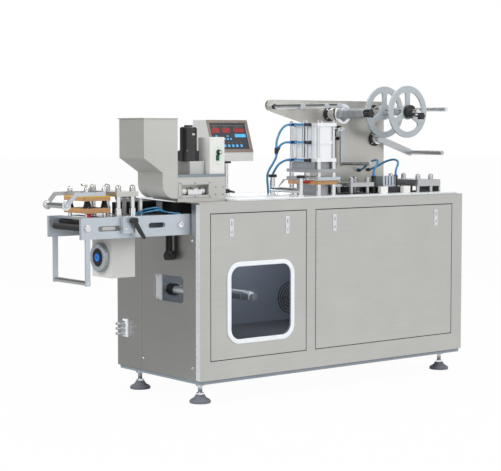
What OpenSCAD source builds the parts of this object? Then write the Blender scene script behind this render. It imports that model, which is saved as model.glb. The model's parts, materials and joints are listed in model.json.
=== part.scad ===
// Small flat-plate blister packing machine: sheet cabinet, film line on top, foil stand behind it.
// Working frame of the modules: x from the cabinet's left end, y from its front face,
// z from its bottom edge. placed() moves that to the part's frame: floor level, box centre.

/* [Cabinet] */
// Length of the cabinet
cabinet_l = 1200; // [1150:5:1300]
// Depth of the cabinet
cabinet_d = 474; // [460:2:520]
// Height of the cabinet
cabinet_h = 572; // [560:2:620]
// Thickness of the stainless sheet
sheet_t = 3; // [2:0.5:4]
// Height of the cabinet above the floor
foot_h = 80; // [70:1:100]
// Thickness of the base plate under the cabinet
base_t = 12; // [8:1:16]
// Radius of a foot pad
pad_r = 35; // [30:1:40]
// Distance of the feet from the cabinet's ends
foot_in_x = 48; // [44:1:70]
// Distance of the feet from the cabinet's front and back
foot_in_y = 65; // [44:1:80]

/* [Front panels] */
// Width of the left panel
left_panel_w = 405; // [395:1:420]
// Right stile of the front frame
right_stile_w = 53; // [48:1:60]
// Left stile of the front frame
stile_w = 42; // [38:1:46]
// Stile between the two panels
middle_stile_w = 40; // [36:1:44]
// Height of the panels' lower edge above the cabinet's bottom
panel_bottom = 61; // [50:1:70]
// Height of the front frame above the panels
top_rail_h = 35; // [30:1:45]
// Gap round a panel
panel_gap = 2; // [1:0.5:3]
// Width of the stop lip behind a panel's edge
lip_w = 14; // [10:1:18]

/* [Window] */
// Width of the window in the left panel
window_w = 258; // [230:2:280]
// Height of the window
window_h = 243; // [220:1:260]
// Distance of the window from the panel's left edge
window_in_x = 79; // [60:1:90]
// Distance of the window from the panel's lower edge
window_in_z = 61; // [50:1:80]
// Corner radius of the window
window_r = 38; // [25:1:45]
// Width of the rubber seal round the window
seal_w = 15; // [10:1:18]
// Height of the seal above the panel
seal_proud = 4; // [3:0.5:6]

/* [Left end] */
// Width of the film exit cut-out
exit_w = 162; // [140:1:170]
// Height of the film exit cut-out
exit_h = 85; // [70:1:95]
// Distance of the film exit from the front
exit_in_y = 90; // [80:1:100]
// Height of the film exit above the cabinet's bottom
exit_z = 245; // [220:1:260]
// Seam between the end panel and the service panel, from the front
seam_y = 331; // [320:1:340]

/* [Film line] */
// Middle of the film line, from the front face
line_y = 150; // [146:1:156]
// Clear width between the side rails
rail_gap = 176; // [172:1:184]
// Thickness of a side rail
rail_t = 12; // [10:1:14]
// Height of a side rail
rail_h = 66; // [62:1:72]
// Reach of the rails to the left of the cabinet
rail_reach = 408; // [405:1:440]
// Drop of the rails' top edge below the cabinet's top
rail_drop = 36; // [34:1:42]
// Radius of the black end roller
end_roller_r = 10; // [8:0.5:12]
// Thickness of the work plate on the cabinet
work_t = 6; // [4:1:10]

/* [Heating and forming] */
// Length of a heating board along the line
board_l = 92; // [86:1:96]
// Width of a heating board across the line
board_w = 124; // [110:1:130]
// Thickness of a heating board
board_t = 15; // [12:1:18]
// Gap between the two heating boards
board_gap = 23; // [18:1:28]
// Width of the forming plate across the line
forming_w = 164; // [150:1:170]
// Length of the forming plate along the line
forming_l = 81; // [70:1:85]

/* [Feeder] */
// Length of the hopper along the line
hopper_l = 130; // [110:1:134]
// Width of the hopper across the line
hopper_w = 140; // [120:1:150]
// Height of the hopper's rim above the cabinet's top
hopper_top = 269; // [240:1:290]
// Thickness of the hopper's sheet
hopper_t = 3; // [2:0.5:4]
// Length of the feeder housing
feeder_l = 193; // [185:1:200]
// Height of the feeder housing
feeder_h = 79; // [75:1:90]
// Radius of the feeder motor
motor_r = 28; // [22:1:30]

/* [Control panel] */
// Width of the control panel's box
control_w = 178; // [160:1:190]
// Height of the control panel's box
control_h = 141; // [125:1:150]
// Depth of the control panel's box
control_d = 112; // [100:1:120]

/* [Foil stand] */
// Distance of the back plate's face from the front
stand_y = 268; // [266:1:290]
// Thickness of the back plate
stand_t = 12; // [10:1:14]
// Height of the back plate's top above the cabinet's top
stand_top = 338; // [320:1:350]
// Radius of the film reel's flanges
reel_r = 94; // [80:1:100]
// Clear width between the reel's flanges
reel_gap = 112; // [100:1:116]
// Thickness of a reel flange
flange_t = 8; // [6:1:10]

/* [Sealing station] */
// Length of a sealing cylinder along the line
cylinder_l = 86; // [76:1:90]
// Width of a sealing cylinder across the line
cylinder_w = 77; // [70:1:80]
// Height of the sealing cylinders
cylinder_h = 134; // [120:1:140]
// Stroke of the sealing press
press_stroke = 10; // [6:0.5:11]

/* [Hidden] */
$fn = 48;

// Clearances and small shared sizes
run_fit = 0.05;
seat_gap = 0.3;
big = 2000;

// Overall box, for the origin in the middle of the footprint at floor level
guide_disc_r = 15;
left_reach = rail_reach + 40;
mid_x = (cabinet_l - left_reach) / 2;
mid_y = (cabinet_d - seal_proud) / 2;

// Levels and stations along the line
rail_top = cabinet_h - rail_drop;
work_top = cabinet_h + work_t;
front_rail_y = line_y - rail_gap / 2 - rail_t;
rear_rail_y = line_y + rail_gap / 2;
end_axle_x = 21 - rail_reach;
end_axle_z = rail_top - 32;
left_panel_x = stile_w;
right_panel_x = stile_w + left_panel_w + middle_stile_w;
right_panel_w = cabinet_l - right_panel_x - right_stile_w;
panel_h = cabinet_h - panel_bottom - top_rail_h;

// Moves the machine's working frame to the part's frame
module placed() translate([-mid_x, -mid_y, foot_h]) children();

// Box from a low corner to a high corner
module block(low, high) translate(low) cube(high - low);

// Round bar along Y from y0 to y1
module bar_y(x, z, r, y0, y1) translate([x, y0, z]) rotate([-90, 0, 0]) cylinder(r = r, h = y1 - y0);

// Round bar along X from x0 to x1
module bar_x(y, z, r, x0, x1) translate([x0, y, z]) rotate([0, 90, 0]) cylinder(r = r, h = x1 - x0);

// Upright post from z0 to z1
module post(x, y, r, z0, z1) translate([x, y, z0]) cylinder(r = r, h = z1 - z0);

// Rectangle with round corners, drawn in the XZ plane and thickened along Y
module rounded_sheet(w, h, r, t) translate([0, t, 0]) rotate([90, 0, 0]) linear_extrude(t)
  union() {
    translate([r, 0]) square([w - 2 * r, h]);
    translate([0, r]) square([w, h - 2 * r]);
    for (x = [r, w - r], z = [r, h - r]) translate([x, z]) circle(r);
  }

// Acorn nut standing on a plate
nut_r = 9;
nut_h = 12;
module acorn_nut(x, y, z) translate([x, y, z]) {
  cylinder(r = nut_r, h = nut_h);
  translate([0, 0, nut_h]) intersection() {
    sphere(r = nut_r);
    cylinder(r = nut_r, h = nut_r);
  }
}

// Star grip: a boss with round lobes, its axis along Z
module star_grip(r, h) {
  cylinder(r = 0.72 * r, h = h);
  for (a = [0 : 60 : 300]) rotate(a) translate([0.72 * r, 0, 0]) cylinder(r = 0.28 * r, h = h, $fn = 24);
}

// Tube swept along a route of points
tube_sides = 8;
function unit(v) = v / norm(v);
function heading(p, i) = unit(p[min(i + 1, len(p) - 1)] - p[max(i - 1, 0)]);
side_way = [1, 0, -1];
function across(t) = unit(cross(t, side_way));
function ring(p, i, r) = let (t = heading(p, i), a = across(t), b = cross(t, a))
  [for (k = [0 : tube_sides - 1]) p[i] + r * (cos(360 * k / tube_sides) * a + sin(360 * k / tube_sides) * b)];
module tube(p, r) {
  n = len(p);
  polyhedron(
    points = [for (i = [0 : n - 1]) each ring(p, i, r)],
    faces = concat(
      [[for (k = [0 : tube_sides - 1]) k]],
      [[for (k = [tube_sides - 1 : -1 : 0]) (n - 1) * tube_sides + k]],
      [for (i = [0 : n - 2], k = [0 : tube_sides - 1], half = [0, 1])
        let (k2 = (k + 1) % tube_sides, low = i * tube_sides, high = low + tube_sides)
        half == 0 ? [low + k, high + k, high + k2] : [low + k, high + k2, low + k2]]));
}

// Base plate that carries the cabinet
base_in = 6;
module base_plate() color("slategray") placed()
  block([base_in, base_in, -base_t], [cabinet_l - base_in, cabinet_d - base_in, 0]);

// Four levelling feet: rubber pads and threaded rods
foot_at = [for (x = [foot_in_x, cabinet_l - foot_in_x], y = [foot_in_y, cabinet_d - foot_in_y]) [x, y]];
pad_h = 26;
pad_rim = 8;
rod_r = 8;
module foot_pads() color("dimgray") placed() for (p = foot_at) translate([p[0], p[1], -foot_h])
  rotate_extrude() polygon([[0, 0], [pad_r, 0], [pad_r, pad_rim], [pad_r - 6, pad_rim + 5],
    [rod_r + 8, pad_h - 3], [rod_r + 8, pad_h], [0, pad_h]]);

foot_nut_r = 15;
foot_nut_h = 11;
module foot_rods() color("silver") placed() for (p = foot_at) {
  post(p[0], p[1], rod_r, pad_h - foot_h, -base_t);
  post(p[0], p[1], foot_nut_r, -base_t - foot_nut_h, -base_t, $fn = 6);
}

// Front frame: face sheet with two panel openings and stop lips behind them
module panel_opening(x, w, shrink) translate([x + shrink, -big / 2, panel_bottom + shrink])
  cube([w - 2 * shrink, big, panel_h - 2 * shrink]);
module front_frame() color("lightgray") placed() {
  difference() {
    cube([cabinet_l, sheet_t, cabinet_h]);
    panel_opening(left_panel_x, left_panel_w, 0);
    panel_opening(right_panel_x, right_panel_w, 0);
  }
  difference() {
    block([sheet_t, sheet_t, 0], [cabinet_l - sheet_t, 2 * sheet_t, cabinet_h - sheet_t]);
    panel_opening(left_panel_x, left_panel_w, lip_w);
    panel_opening(right_panel_x, right_panel_w, lip_w);
  }
}

// Lift-off front panels, each held on the stop lips by two locks
module panel_sheet(x, w) block([x + panel_gap, 0, panel_bottom + panel_gap],
  [x + w - panel_gap, sheet_t, panel_bottom + panel_h - panel_gap]);
module window_shape(grow, t)
  translate([left_panel_x + window_in_x - grow, 0, panel_bottom + window_in_z - grow])
  rounded_sheet(window_w + 2 * grow, window_h + 2 * grow, window_r + grow, t);
module left_panel() color("lightgray") placed() difference() {
  panel_sheet(left_panel_x, left_panel_w);
  translate([0, -sheet_t, 0]) window_shape(0, 3 * sheet_t);
}
module right_panel() color("lightgray") placed() panel_sheet(right_panel_x, right_panel_w);

// Window: rubber seal gripping the panel's edge, with the clear pane in it
seal_in = 3;
module window_seal() color("white") placed() difference() {
  union() {
    translate([0, -seal_proud, 0]) window_shape(seal_w - seal_in, seal_proud);
    translate([0, -seal_proud, 0]) window_shape(-seat_gap, seal_proud + sheet_t + 2);
  }
  translate([0, -big / 2, 0]) window_shape(-seal_in, big);
}
pane_t = 4;
module window_pane() color("lightblue", 0.4) placed() translate([0, -seal_proud / 2, 0])
  window_shape(-seal_in - seat_gap, pane_t);

// Panel locks: a plate with a turn slot near each upper corner of a panel
lock_w = 16;
lock_h = 58;
lock_proud = 2;
lock_drop = 48;
lock_in = 85;
lock_at = [left_panel_x + lock_in, left_panel_x + left_panel_w - lock_in,
  right_panel_x + lock_in, right_panel_x + right_panel_w - lock_in];
module panel_locks() color("silver") placed() for (x = lock_at)
  translate([x - lock_w / 2, -lock_proud, panel_bottom + panel_h - lock_drop - lock_h / 2])
    rounded_sheet(lock_w, lock_h, 3, lock_proud);

// Rear wall with the outlines of its two covers pressed in
groove_w = 3;
module cover_groove(x, w) translate([x, cabinet_d - sheet_t / 2, panel_bottom]) difference() {
  cube([w, sheet_t, panel_h]);
  translate([groove_w, -1, groove_w]) cube([w - 2 * groove_w, sheet_t + 2, panel_h - 2 * groove_w]);
}
module rear_wall() color("lightgray") placed() difference() {
  block([0, cabinet_d - sheet_t, 0], [cabinet_l, cabinet_d, cabinet_h]);
  cover_groove(left_panel_x, left_panel_w);
  cover_groove(right_panel_x, right_panel_w);
}

// Left end: panel with the film exit and the notch for the rails, and the service panel behind
notch_gap = 5;
exit_r = 14;
module left_end_panel() color("darkgray") placed() difference() {
  block([0, sheet_t, 0], [sheet_t, seam_y - panel_gap / 2, cabinet_h - sheet_t]);
  translate([2 * sheet_t, exit_in_y, exit_z]) rotate(90) translate([0, -sheet_t, 0])
    rounded_sheet(exit_w, exit_h, exit_r, 4 * sheet_t);
  block([-1, front_rail_y - notch_gap, rail_top - rail_h],
    [sheet_t + 1, rear_rail_y + rail_t + notch_gap, cabinet_h]);
}
module service_panel() color("darkgray") placed()
  block([0, seam_y + panel_gap / 2, 0], [sheet_t, cabinet_d - sheet_t, cabinet_h - sheet_t]);
module right_end_panel() color("darkgray") placed()
  block([cabinet_l - sheet_t, sheet_t, 0], [cabinet_l, cabinet_d - sheet_t, cabinet_h - sheet_t]);

// Top sheet of the cabinet and the work plate that carries the stations
work_x = 172;
work_in = 22;
module cabinet_top() color("lightgray") placed()
  block([0, sheet_t, cabinet_h - sheet_t], [cabinet_l, cabinet_d - sheet_t, cabinet_h]);
module work_plate() color("gainsboro") placed()
  block([work_x, work_in, cabinet_h], [cabinet_l - 2 * sheet_t, cabinet_d - work_in / 2, work_top]);

// Inside: floor, waste film spindle, exit roller and the fan grille on the rear wall
floor_z = 92;
floor_t = 5;
module inner_floor() color("dimgray") placed()
  block([sheet_t, 2 * sheet_t, floor_z], [cabinet_l - sheet_t, cabinet_d - sheet_t, floor_z + floor_t]);

spindle_x = 343;
spindle_z = 238;
spindle_y = 150;
spindle_r = 12;
cone_r = 34;
cone_l = 40;
waste_disc_r = 38;
waste_disc_t = 12;
cone_y = spindle_y + 46;
exit_roller_x = 46;
exit_roller_r = 13;
exit_roller_z = exit_z + 33;
module film_spindle() color("silver") placed() {
  bar_y(spindle_x, spindle_z, spindle_r, spindle_y, cabinet_d - sheet_t);
  bar_y(spindle_x, spindle_z, waste_disc_r, cone_y + cone_l, cone_y + cone_l + waste_disc_t);
  translate([spindle_x, cone_y, spindle_z]) rotate([-90, 0, 0])
    cylinder(r1 = spindle_r + 4, r2 = cone_r, h = cone_l);
  bar_y(exit_roller_x, exit_roller_z, exit_roller_r, 2 * sheet_t, cabinet_d - sheet_t);
}
grille_x = 770;
grille_z = 179;
grille_r = 60;
grille_t = 4;
wire_w = 4;
grille_step = 11;
module fan_grille() color("silver") placed() translate([grille_x, cabinet_d - sheet_t - grille_t, grille_z])
  rotate([-90, 0, 0]) linear_extrude(grille_t) {
    for (r = [grille_r : -grille_step : grille_step]) difference() {
      circle(r);
      circle(r - wire_w);
    }
    for (a = [0, 90]) rotate(a) square([2 * (grille_r - wire_w / 2), wire_w], center = true);
  }

// Three hose connectors on a block at the service panel
connector_y = 420;
connector_z = 132;
connector_step = 17;
connector_r = 8;
manifold_t = 6;
manifold_w = 28;
manifold_h = 60;
nipple_r = 5;
nipple_l = 20;
connector_x = -22;
module hose_connectors() color("silver") placed() {
  block([-manifold_t, connector_y - manifold_w / 2, connector_z - manifold_h / 2],
    [0, connector_y + manifold_w / 2, connector_z + manifold_h / 2]);
  for (k = [-1 : 1]) {
    bar_x(connector_y, connector_z + k * connector_step, connector_r, connector_x, 0, $fn = 6);
    bar_x(connector_y, connector_z + k * connector_step, nipple_r, connector_x - nipple_l, connector_x);
  }
}

// Side rails with their slots and the bores for the end roller
slot_r = 8;
left_slot_x = -340;
left_slot_drop = 35;
left_slot_l = 68;
right_slot_x = -154;
right_slot_drop = 31;
right_slot_l = 48;
module rail_slot(x, z, l) hull() for (s = [0, l])
  translate([x + s, -big / 2, z]) rotate([-90, 0, 0]) cylinder(r = slot_r, h = big, $fn = 32);
journal_r = 6;
rail_in = 40;
module side_rails() color("gainsboro") placed() for (y = [front_rail_y, rear_rail_y]) difference() {
  block([-rail_reach, y, rail_top - rail_h], [rail_in, y + rail_t, rail_top]);
  rail_slot(left_slot_x, rail_top - left_slot_drop, left_slot_l);
  rail_slot(right_slot_x, rail_top - right_slot_drop, right_slot_l);
  bar_y(end_axle_x, end_axle_z, journal_r + run_fit, y - 1, y + rail_t + 1);
}

// Black end roller: its journals turn in the rails, with a collar outside each rail
arm_t = 4;
collar_r = 10;
collar_h = 6;
module end_roller() color("black") placed() {
  bar_y(end_axle_x, end_axle_z, end_roller_r, front_rail_y + rail_t + seat_gap, rear_rail_y - seat_gap);
  front = front_rail_y - seat_gap;
  rear = rear_rail_y + rail_t + seat_gap;
  bar_y(end_axle_x, end_axle_z, journal_r, front - collar_h, rear + collar_h);
  bar_y(end_axle_x, end_axle_z, collar_r, front - collar_h, front);
  bar_y(end_axle_x, end_axle_z, collar_r, rear, rear + collar_h);
}

// Guide arms: two straps down from the rails, two bent straps over the heating boards
strap_w = 17;
strap_t = 6;
strap_bottom = rail_top - 208;
guide_pin_r = 4;
strap_x = end_axle_x + 2;
lower_guide_z = strap_bottom + 9;
upper_guide_x = guide_disc_r - left_reach;
upper_guide_z = cabinet_h + 1;
board_x = 38 - rail_reach;
board_low_z = rail_top + 11;
board_high_z = board_low_z + board_t + board_gap;
board_top = board_high_z + board_t;
upper_arm_bend_x = upper_guide_x + 27;
upper_arm_l = 75;
upper_arm_h = 12;
arm_eye_r = 8;
module guide_arms() color("silver") placed() {
  for (y = [front_rail_y, rear_rail_y]) difference() {
    block([strap_x - strap_w / 2, y, strap_bottom], [strap_x + strap_w / 2, y + strap_t, rail_top - rail_h]);
    bar_y(strap_x, lower_guide_z, guide_pin_r + run_fit, y - 1, y + strap_t + 1);
  }
  for (y = [line_y - board_w / 2, line_y + board_w / 2 - arm_t]) difference() {
    translate([0, y + arm_t, 0]) rotate([90, 0, 0]) linear_extrude(arm_t) union() {
      polygon([[board_x + upper_arm_l, board_top], [board_x + upper_arm_l, board_top + upper_arm_h],
        [upper_arm_bend_x, board_top + upper_arm_h], [upper_guide_x - 6, upper_guide_z + 3],
        [upper_guide_x + 6, upper_guide_z - 3], [upper_arm_bend_x + 7, board_top]]);
      translate([upper_guide_x, upper_guide_z]) circle(arm_eye_r);
    }
    bar_y(upper_guide_x, upper_guide_z, guide_pin_r + run_fit, y - 1, y + arm_t + 1);
  }
}

// Lower guide roller, turning between the straps
lower_guide_r = 8;
module lower_guide_roller() color("silver") placed() {
  bar_y(strap_x, lower_guide_z, lower_guide_r, front_rail_y + strap_t + seat_gap, rear_rail_y - seat_gap);
  bar_y(strap_x, lower_guide_z, guide_pin_r, front_rail_y, rear_rail_y + strap_t);
}

// Upper guide roller with a disc at each end
upper_guide_r = 9;
disc_t = 4;
module upper_guide_roller() color("silver") placed() {
  y0 = line_y - board_w / 2 + arm_t + seat_gap;
  y1 = line_y + board_w / 2 - arm_t - seat_gap;
  bar_y(upper_guide_x, upper_guide_z, upper_guide_r, y0, y1);
  bar_y(upper_guide_x, upper_guide_z, guide_disc_r, y0, y0 + disc_t);
  bar_y(upper_guide_x, upper_guide_z, guide_disc_r, y1 - disc_t, y1);
  bar_y(upper_guide_x, upper_guide_z, guide_pin_r, y0 - seat_gap - arm_t, y1 + seat_gap + arm_t);
}

// Clamp block on the front rail and the lever that tightens it
clamp_x = -266;
clamp_w = 44;
clamp_t = 16;
lever_x = clamp_x + 32;
lever_z = rail_top - 12;
module clamp_block() color("silver") placed()
  block([clamp_x, front_rail_y - clamp_t, rail_top - rail_h + 14],
    [clamp_x + clamp_w, front_rail_y, rail_top + 2]);
lever_hub_r = 10;
lever_hub_l = 20;
lever_l = 62;
module clamp_lever() color("black") placed() {
  y = front_rail_y - clamp_t - seat_gap;
  bar_y(lever_x, lever_z, lever_hub_r, y - lever_hub_l, y);
  translate([lever_x, y - 14, lever_z]) rotate([0, 58, 0]) hull() {
    translate([0, 0, 0]) rotate([-90, 0, 0]) cylinder(r = 7, h = 9, $fn = 32);
    translate([lever_l, -4, 0]) rotate([-90, 0, 0]) cylinder(r = 5, h = 8, $fn = 32);
  }
}

// Heating station: two insulating boards with studs, springs and cross bars between the rails
stud_in = 14;
stud_r = 6;
stud_at = [for (x = [board_x + stud_in, board_x + board_l - stud_in], s = [-1, 1])
  [x, line_y + s * (board_w / 2 - stud_in)]];
module heating_boards() color("peru") placed() for (z = [board_low_z, board_high_z])
  block([board_x, line_y - board_w / 2, z], [board_x + board_l, line_y + board_w / 2, z + board_t]);
cross_bar_w = 20;
cross_bar_t = 8;
module heating_fittings() color("silver") placed() {
  for (x = [board_x + stud_in, board_x + board_l - stud_in])
    block([x - cross_bar_w / 2, line_y - rail_gap / 2, rail_top - cross_bar_t],
      [x + cross_bar_w / 2, line_y + rail_gap / 2, rail_top]);
  for (p = stud_at) {
    post(p[0], p[1], stud_r, rail_top, board_low_z);
    translate([p[0], p[1], board_low_z + board_t]) cylinder(r1 = stud_r + 2, r2 = stud_r - 1, h = board_gap);
  }
}

// Forming station: base plate between the rails, four posts with collars, top plate, acorn nuts
forming_x = board_x + board_l + 10;
forming_plate_z = cabinet_h + 25;
forming_plate_t = 15;
forming_post_r = 7;
forming_base_t = 12;
forming_at = [for (x = [forming_x + 12, forming_x + forming_l - 16], s = [-1, 1])
  [x, line_y + s * (forming_w / 2 - 10)]];
module forming_station() color("silver") placed() {
  block([forming_x, line_y - rail_gap / 2, rail_top - forming_base_t],
    [forming_x + forming_l, line_y + rail_gap / 2, rail_top]);
  block([forming_x, line_y - forming_w / 2, forming_plate_z],
    [forming_x + forming_l, line_y + forming_w / 2, forming_plate_z + forming_plate_t]);
  for (p = forming_at) {
    post(p[0], p[1], forming_post_r, rail_top, forming_plate_z);
    post(p[0], p[1], forming_post_r + 3, rail_top, rail_top + 24);
    acorn_nut(p[0], p[1], forming_plate_z + forming_plate_t);
  }
}

// Film track from the forming station to the feeder
track_w = 120;
track_t = 4;
track_x = forming_x + forming_l + 6;
track_high = cabinet_h + 18;
track_low = cabinet_h;
pan_t = 8;
hopper_x = -hopper_l - 27;
feeder_x = hopper_x + hopper_l;
track_foot_x = track_x + 20;
track_foot_l = 10;
module film_track() color("gainsboro") placed() {
  block([track_x, line_y - rail_gap / 2, rail_top - forming_base_t],
    [-sheet_t, line_y + rail_gap / 2, rail_top - forming_base_t + pan_t]);
  translate([0, line_y + track_w / 2, 0]) rotate([90, 0, 0]) linear_extrude(track_w)
    polygon([[track_x, track_high], [track_x, track_high + track_t], [feeder_x, track_low + track_t],
      [feeder_x, track_low]]);
  for (y = [line_y - track_w / 2 + 10, line_y + track_w / 2 - 20])
    block([track_foot_x, y, rail_top - forming_base_t + pan_t],
      [track_foot_x + track_foot_l, y + 10, track_high - 2]);
}

// Drive box under the forming station, with its round cast flange
drive_d = 110;
drive_bottom = rail_top - 194;
drive_flange_r = 45;
drive_flange_t = 14;
drive_hub_r = 12;
module drive_box() color("lightgray") placed()
  block([forming_x - 4, line_y - drive_d / 2, drive_bottom],
    [forming_x + forming_l + 4, line_y + drive_d / 2, rail_top - forming_base_t]);
drive_axis_z = rail_top - 131;
flange_x = forming_x - 4 - drive_flange_t;
flange_rim = 7;
flange_bolt_r = 3;
module drive_flange() color("darkgray") placed()
  translate([flange_x, line_y, drive_axis_z]) rotate([0, 90, 0]) {
    difference() {
      cylinder(r = drive_flange_r, h = drive_flange_t);
      translate([0, 0, -1]) cylinder(r = drive_flange_r - 2 * flange_rim, h = 5);
      for (a = [30 : 60 : 330]) rotate(a) translate([drive_flange_r - flange_rim, 0, -1])
        cylinder(r = flange_bolt_r, h = 6);
    }
    translate([0, 0, -4]) cylinder(r = drive_hub_r, h = 9);
  }

// Corrugated conduit from under the track into the end panel
conduit_r = 12;
conduit_x = -16;
conduit_y = 145;
gland_r = 14;
gland_z = rail_top - 140;
module conduit() color("black") placed() {
  post(conduit_x, conduit_y, conduit_r, gland_z, rail_top - forming_base_t);
  bar_x(conduit_y, gland_z, gland_r, conduit_x - gland_r, 0);
}

// Hopper: folded sheet box with a sloped floor and a curved chute, open at the top
hopper_rim = cabinet_h + hopper_top;
throat_l = 59;
throat_x = hopper_x + hopper_l - throat_l;
hopper_depth = 127;
slope_drop = 46;
slope_top = hopper_rim - hopper_depth;
slope_low = slope_top - slope_drop;
chute_bottom = cabinet_h + 12;
chute_r = 46;
rim_w = 4;
module hopper_profile(inset) offset(delta = -inset) difference() {
  polygon([[hopper_x, hopper_rim], [hopper_x, slope_top], [throat_x, slope_low], [throat_x, chute_bottom],
    [hopper_x + hopper_l, chute_bottom], [hopper_x + hopper_l, hopper_rim]]);
  difference() {
    translate([throat_x - 1, chute_bottom - 1]) square(chute_r + 1);
    translate([throat_x + chute_r, chute_bottom + chute_r]) circle(chute_r);
  }
}
module hopper_slice(inset, w) translate([0, line_y + w / 2, 0]) rotate([90, 0, 0])
  linear_extrude(w) hopper_profile(inset);
module hopper() color("silver") placed() difference() {
  union() {
    hopper_slice(0, hopper_w);
    block([hopper_x - rim_w, line_y - hopper_w / 2 - rim_w, hopper_rim - hopper_t],
      [hopper_x + hopper_l, line_y + hopper_w / 2 + rim_w, hopper_rim]);
  }
  hopper_slice(hopper_t, hopper_w - 2 * hopper_t);
  block([hopper_x + hopper_t, line_y - hopper_w / 2 + hopper_t, hopper_rim - hopper_t - 1],
    [hopper_x + hopper_l - hopper_t, line_y + hopper_w / 2 - hopper_t, hopper_rim + 1]);
}

// Feeder housing with its lid plate, sight window and the gearbox, motor and speed box on it
lid_t = 9;
lid_top = cabinet_h + feeder_h + lid_t;
sight_w = 108;
sight_h = 33;
sight_x = feeder_x + 13;
sight_z = cabinet_h + 22;
sight_frame = 11;
sight_proud = 3;
sight_depth = 30;
feeder_front = line_y - hopper_w / 2;
module feeder_housing() color("silver") placed() {
  difference() {
    union() {
      block([feeder_x, feeder_front, cabinet_h],
        [feeder_x + feeder_l, feeder_front + hopper_w, cabinet_h + feeder_h]);
      block([sight_x - sight_frame, feeder_front - sight_proud, sight_z - sight_frame + 3],
        [sight_x + sight_w + sight_frame, feeder_front, sight_z + sight_h + sight_frame]);
    }
    block([sight_x, feeder_front - sight_proud - 1, sight_z],
      [sight_x + sight_w, feeder_front + sight_depth, sight_z + sight_h]);
  }
  block([feeder_x, feeder_front, cabinet_h + feeder_h],
    [feeder_x + feeder_l, feeder_front + hopper_w, lid_top]);
}
gearbox_x = feeder_x + 69;
gearbox_y = line_y - 40;
gearbox_w = 60;
gearbox_d = 80;
gearbox_h = 42;
module feeder_gearbox() color("silver") placed()
  block([gearbox_x, gearbox_y, lid_top], [gearbox_x + gearbox_w, gearbox_y + gearbox_d, lid_top + gearbox_h]);
motor_x = gearbox_x + gearbox_w / 2 - 12;
motor_y = gearbox_y + gearbox_d / 2 - 8;
motor_base = 50;
motor_base_h = 33;
motor_h = 78;
motor_round = 3;
motor_cap_h = 6;
module feeder_motor() color("black") placed() translate([motor_x, motor_y, lid_top + gearbox_h]) {
  translate([-motor_base / 2, -motor_base / 2, 0]) cube([motor_base, motor_base, motor_base_h]);
  rotate_extrude() polygon([[0, 0], [motor_r, 0], [motor_r, motor_base_h + motor_h - motor_round],
    [motor_r - motor_round, motor_base_h + motor_h], [motor_r / 2, motor_base_h + motor_h],
    [motor_r / 2, motor_base_h + motor_h + motor_cap_h], [0, motor_base_h + motor_h + motor_cap_h]]);
}
speed_w = 60;
speed_d = 65;
speed_h = 120;
speed_x = feeder_x + feeder_l - speed_w - 1;
speed_y = line_y - hopper_w / 2 + 5;
module speed_box() color("silver") placed()
  block([speed_x, speed_y, lid_top], [speed_x + speed_w, speed_y + speed_d, lid_top + speed_h]);

// Control panel on its post: the box swivels on the post's upper end
panel_post_x = 342;
panel_post_y = 306;
panel_post_r = 7;
post_foot_r = 18;
post_foot_h = 8;
control_z = cabinet_h + 125;
socket_h = 40;
module panel_post() color("silver") placed() {
  post(panel_post_x, panel_post_y, post_foot_r, work_top, work_top + post_foot_h);
  post(panel_post_x, panel_post_y, panel_post_r, work_top, control_z + socket_h);
}
face_run = 39;
face_low = 30;
face_tilt = atan(face_run / (control_h - face_low));
face_l = norm([face_run, control_h - face_low]);
bezel_w = 11;
membrane_in = 2;
post_flange_r = 17;
post_flange_h = 8;
control_x = panel_post_x - 102;
control_y = panel_post_y - control_d / 2;
module control_panel() color("silver") placed() difference() {
  union() {
    translate([control_x, 0, 0]) rotate([90, 0, 90]) linear_extrude(control_w) polygon([
      [control_y, control_z], [control_y, control_z + face_low],
      [control_y + face_run, control_z + control_h],
      [control_y + control_d, control_z + control_h], [control_y + control_d, control_z]]);
    post(panel_post_x, panel_post_y, post_flange_r, control_z - post_flange_h, control_z);
  }
  post(panel_post_x, panel_post_y, panel_post_r + run_fit, control_z - post_flange_h - 1,
    control_z + socket_h + seat_gap);
  translate([control_x, control_y, control_z + face_low]) rotate([-face_tilt, 0, 0])
    block([bezel_w, -2 * membrane_in, bezel_w], [control_w - bezel_w, membrane_in, face_l - bezel_w]);
}

// Back plate of the foil stand: an upright with a tapered wing
stand_from_end = 142;
stand_w = 358;
wing_l = 545;
stand_right = cabinet_l - stand_from_end;
stand_left = stand_right - stand_w;
wing_tip_r = 20;
wing_tip_x = stand_right - wing_l;
wing_angle = 15;
stand_z = cabinet_h + stand_top;
wing_tip = [for (a = [90 : 15 : 270 - wing_angle])
  [wing_tip_x + wing_tip_r * cos(a), stand_z - wing_tip_r + wing_tip_r * sin(a)]];
wing_end = wing_tip[len(wing_tip) - 1];
module back_plate() color("silver") placed() translate([0, stand_y + stand_t, 0]) rotate([90, 0, 0])
  linear_extrude(stand_t) polygon(concat([[stand_right, stand_z]], wing_tip, [
    [stand_left, wing_end[1] - (stand_left - wing_end[0]) * tan(wing_angle)],
    [stand_left, work_top], [stand_right, work_top]]));

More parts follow.
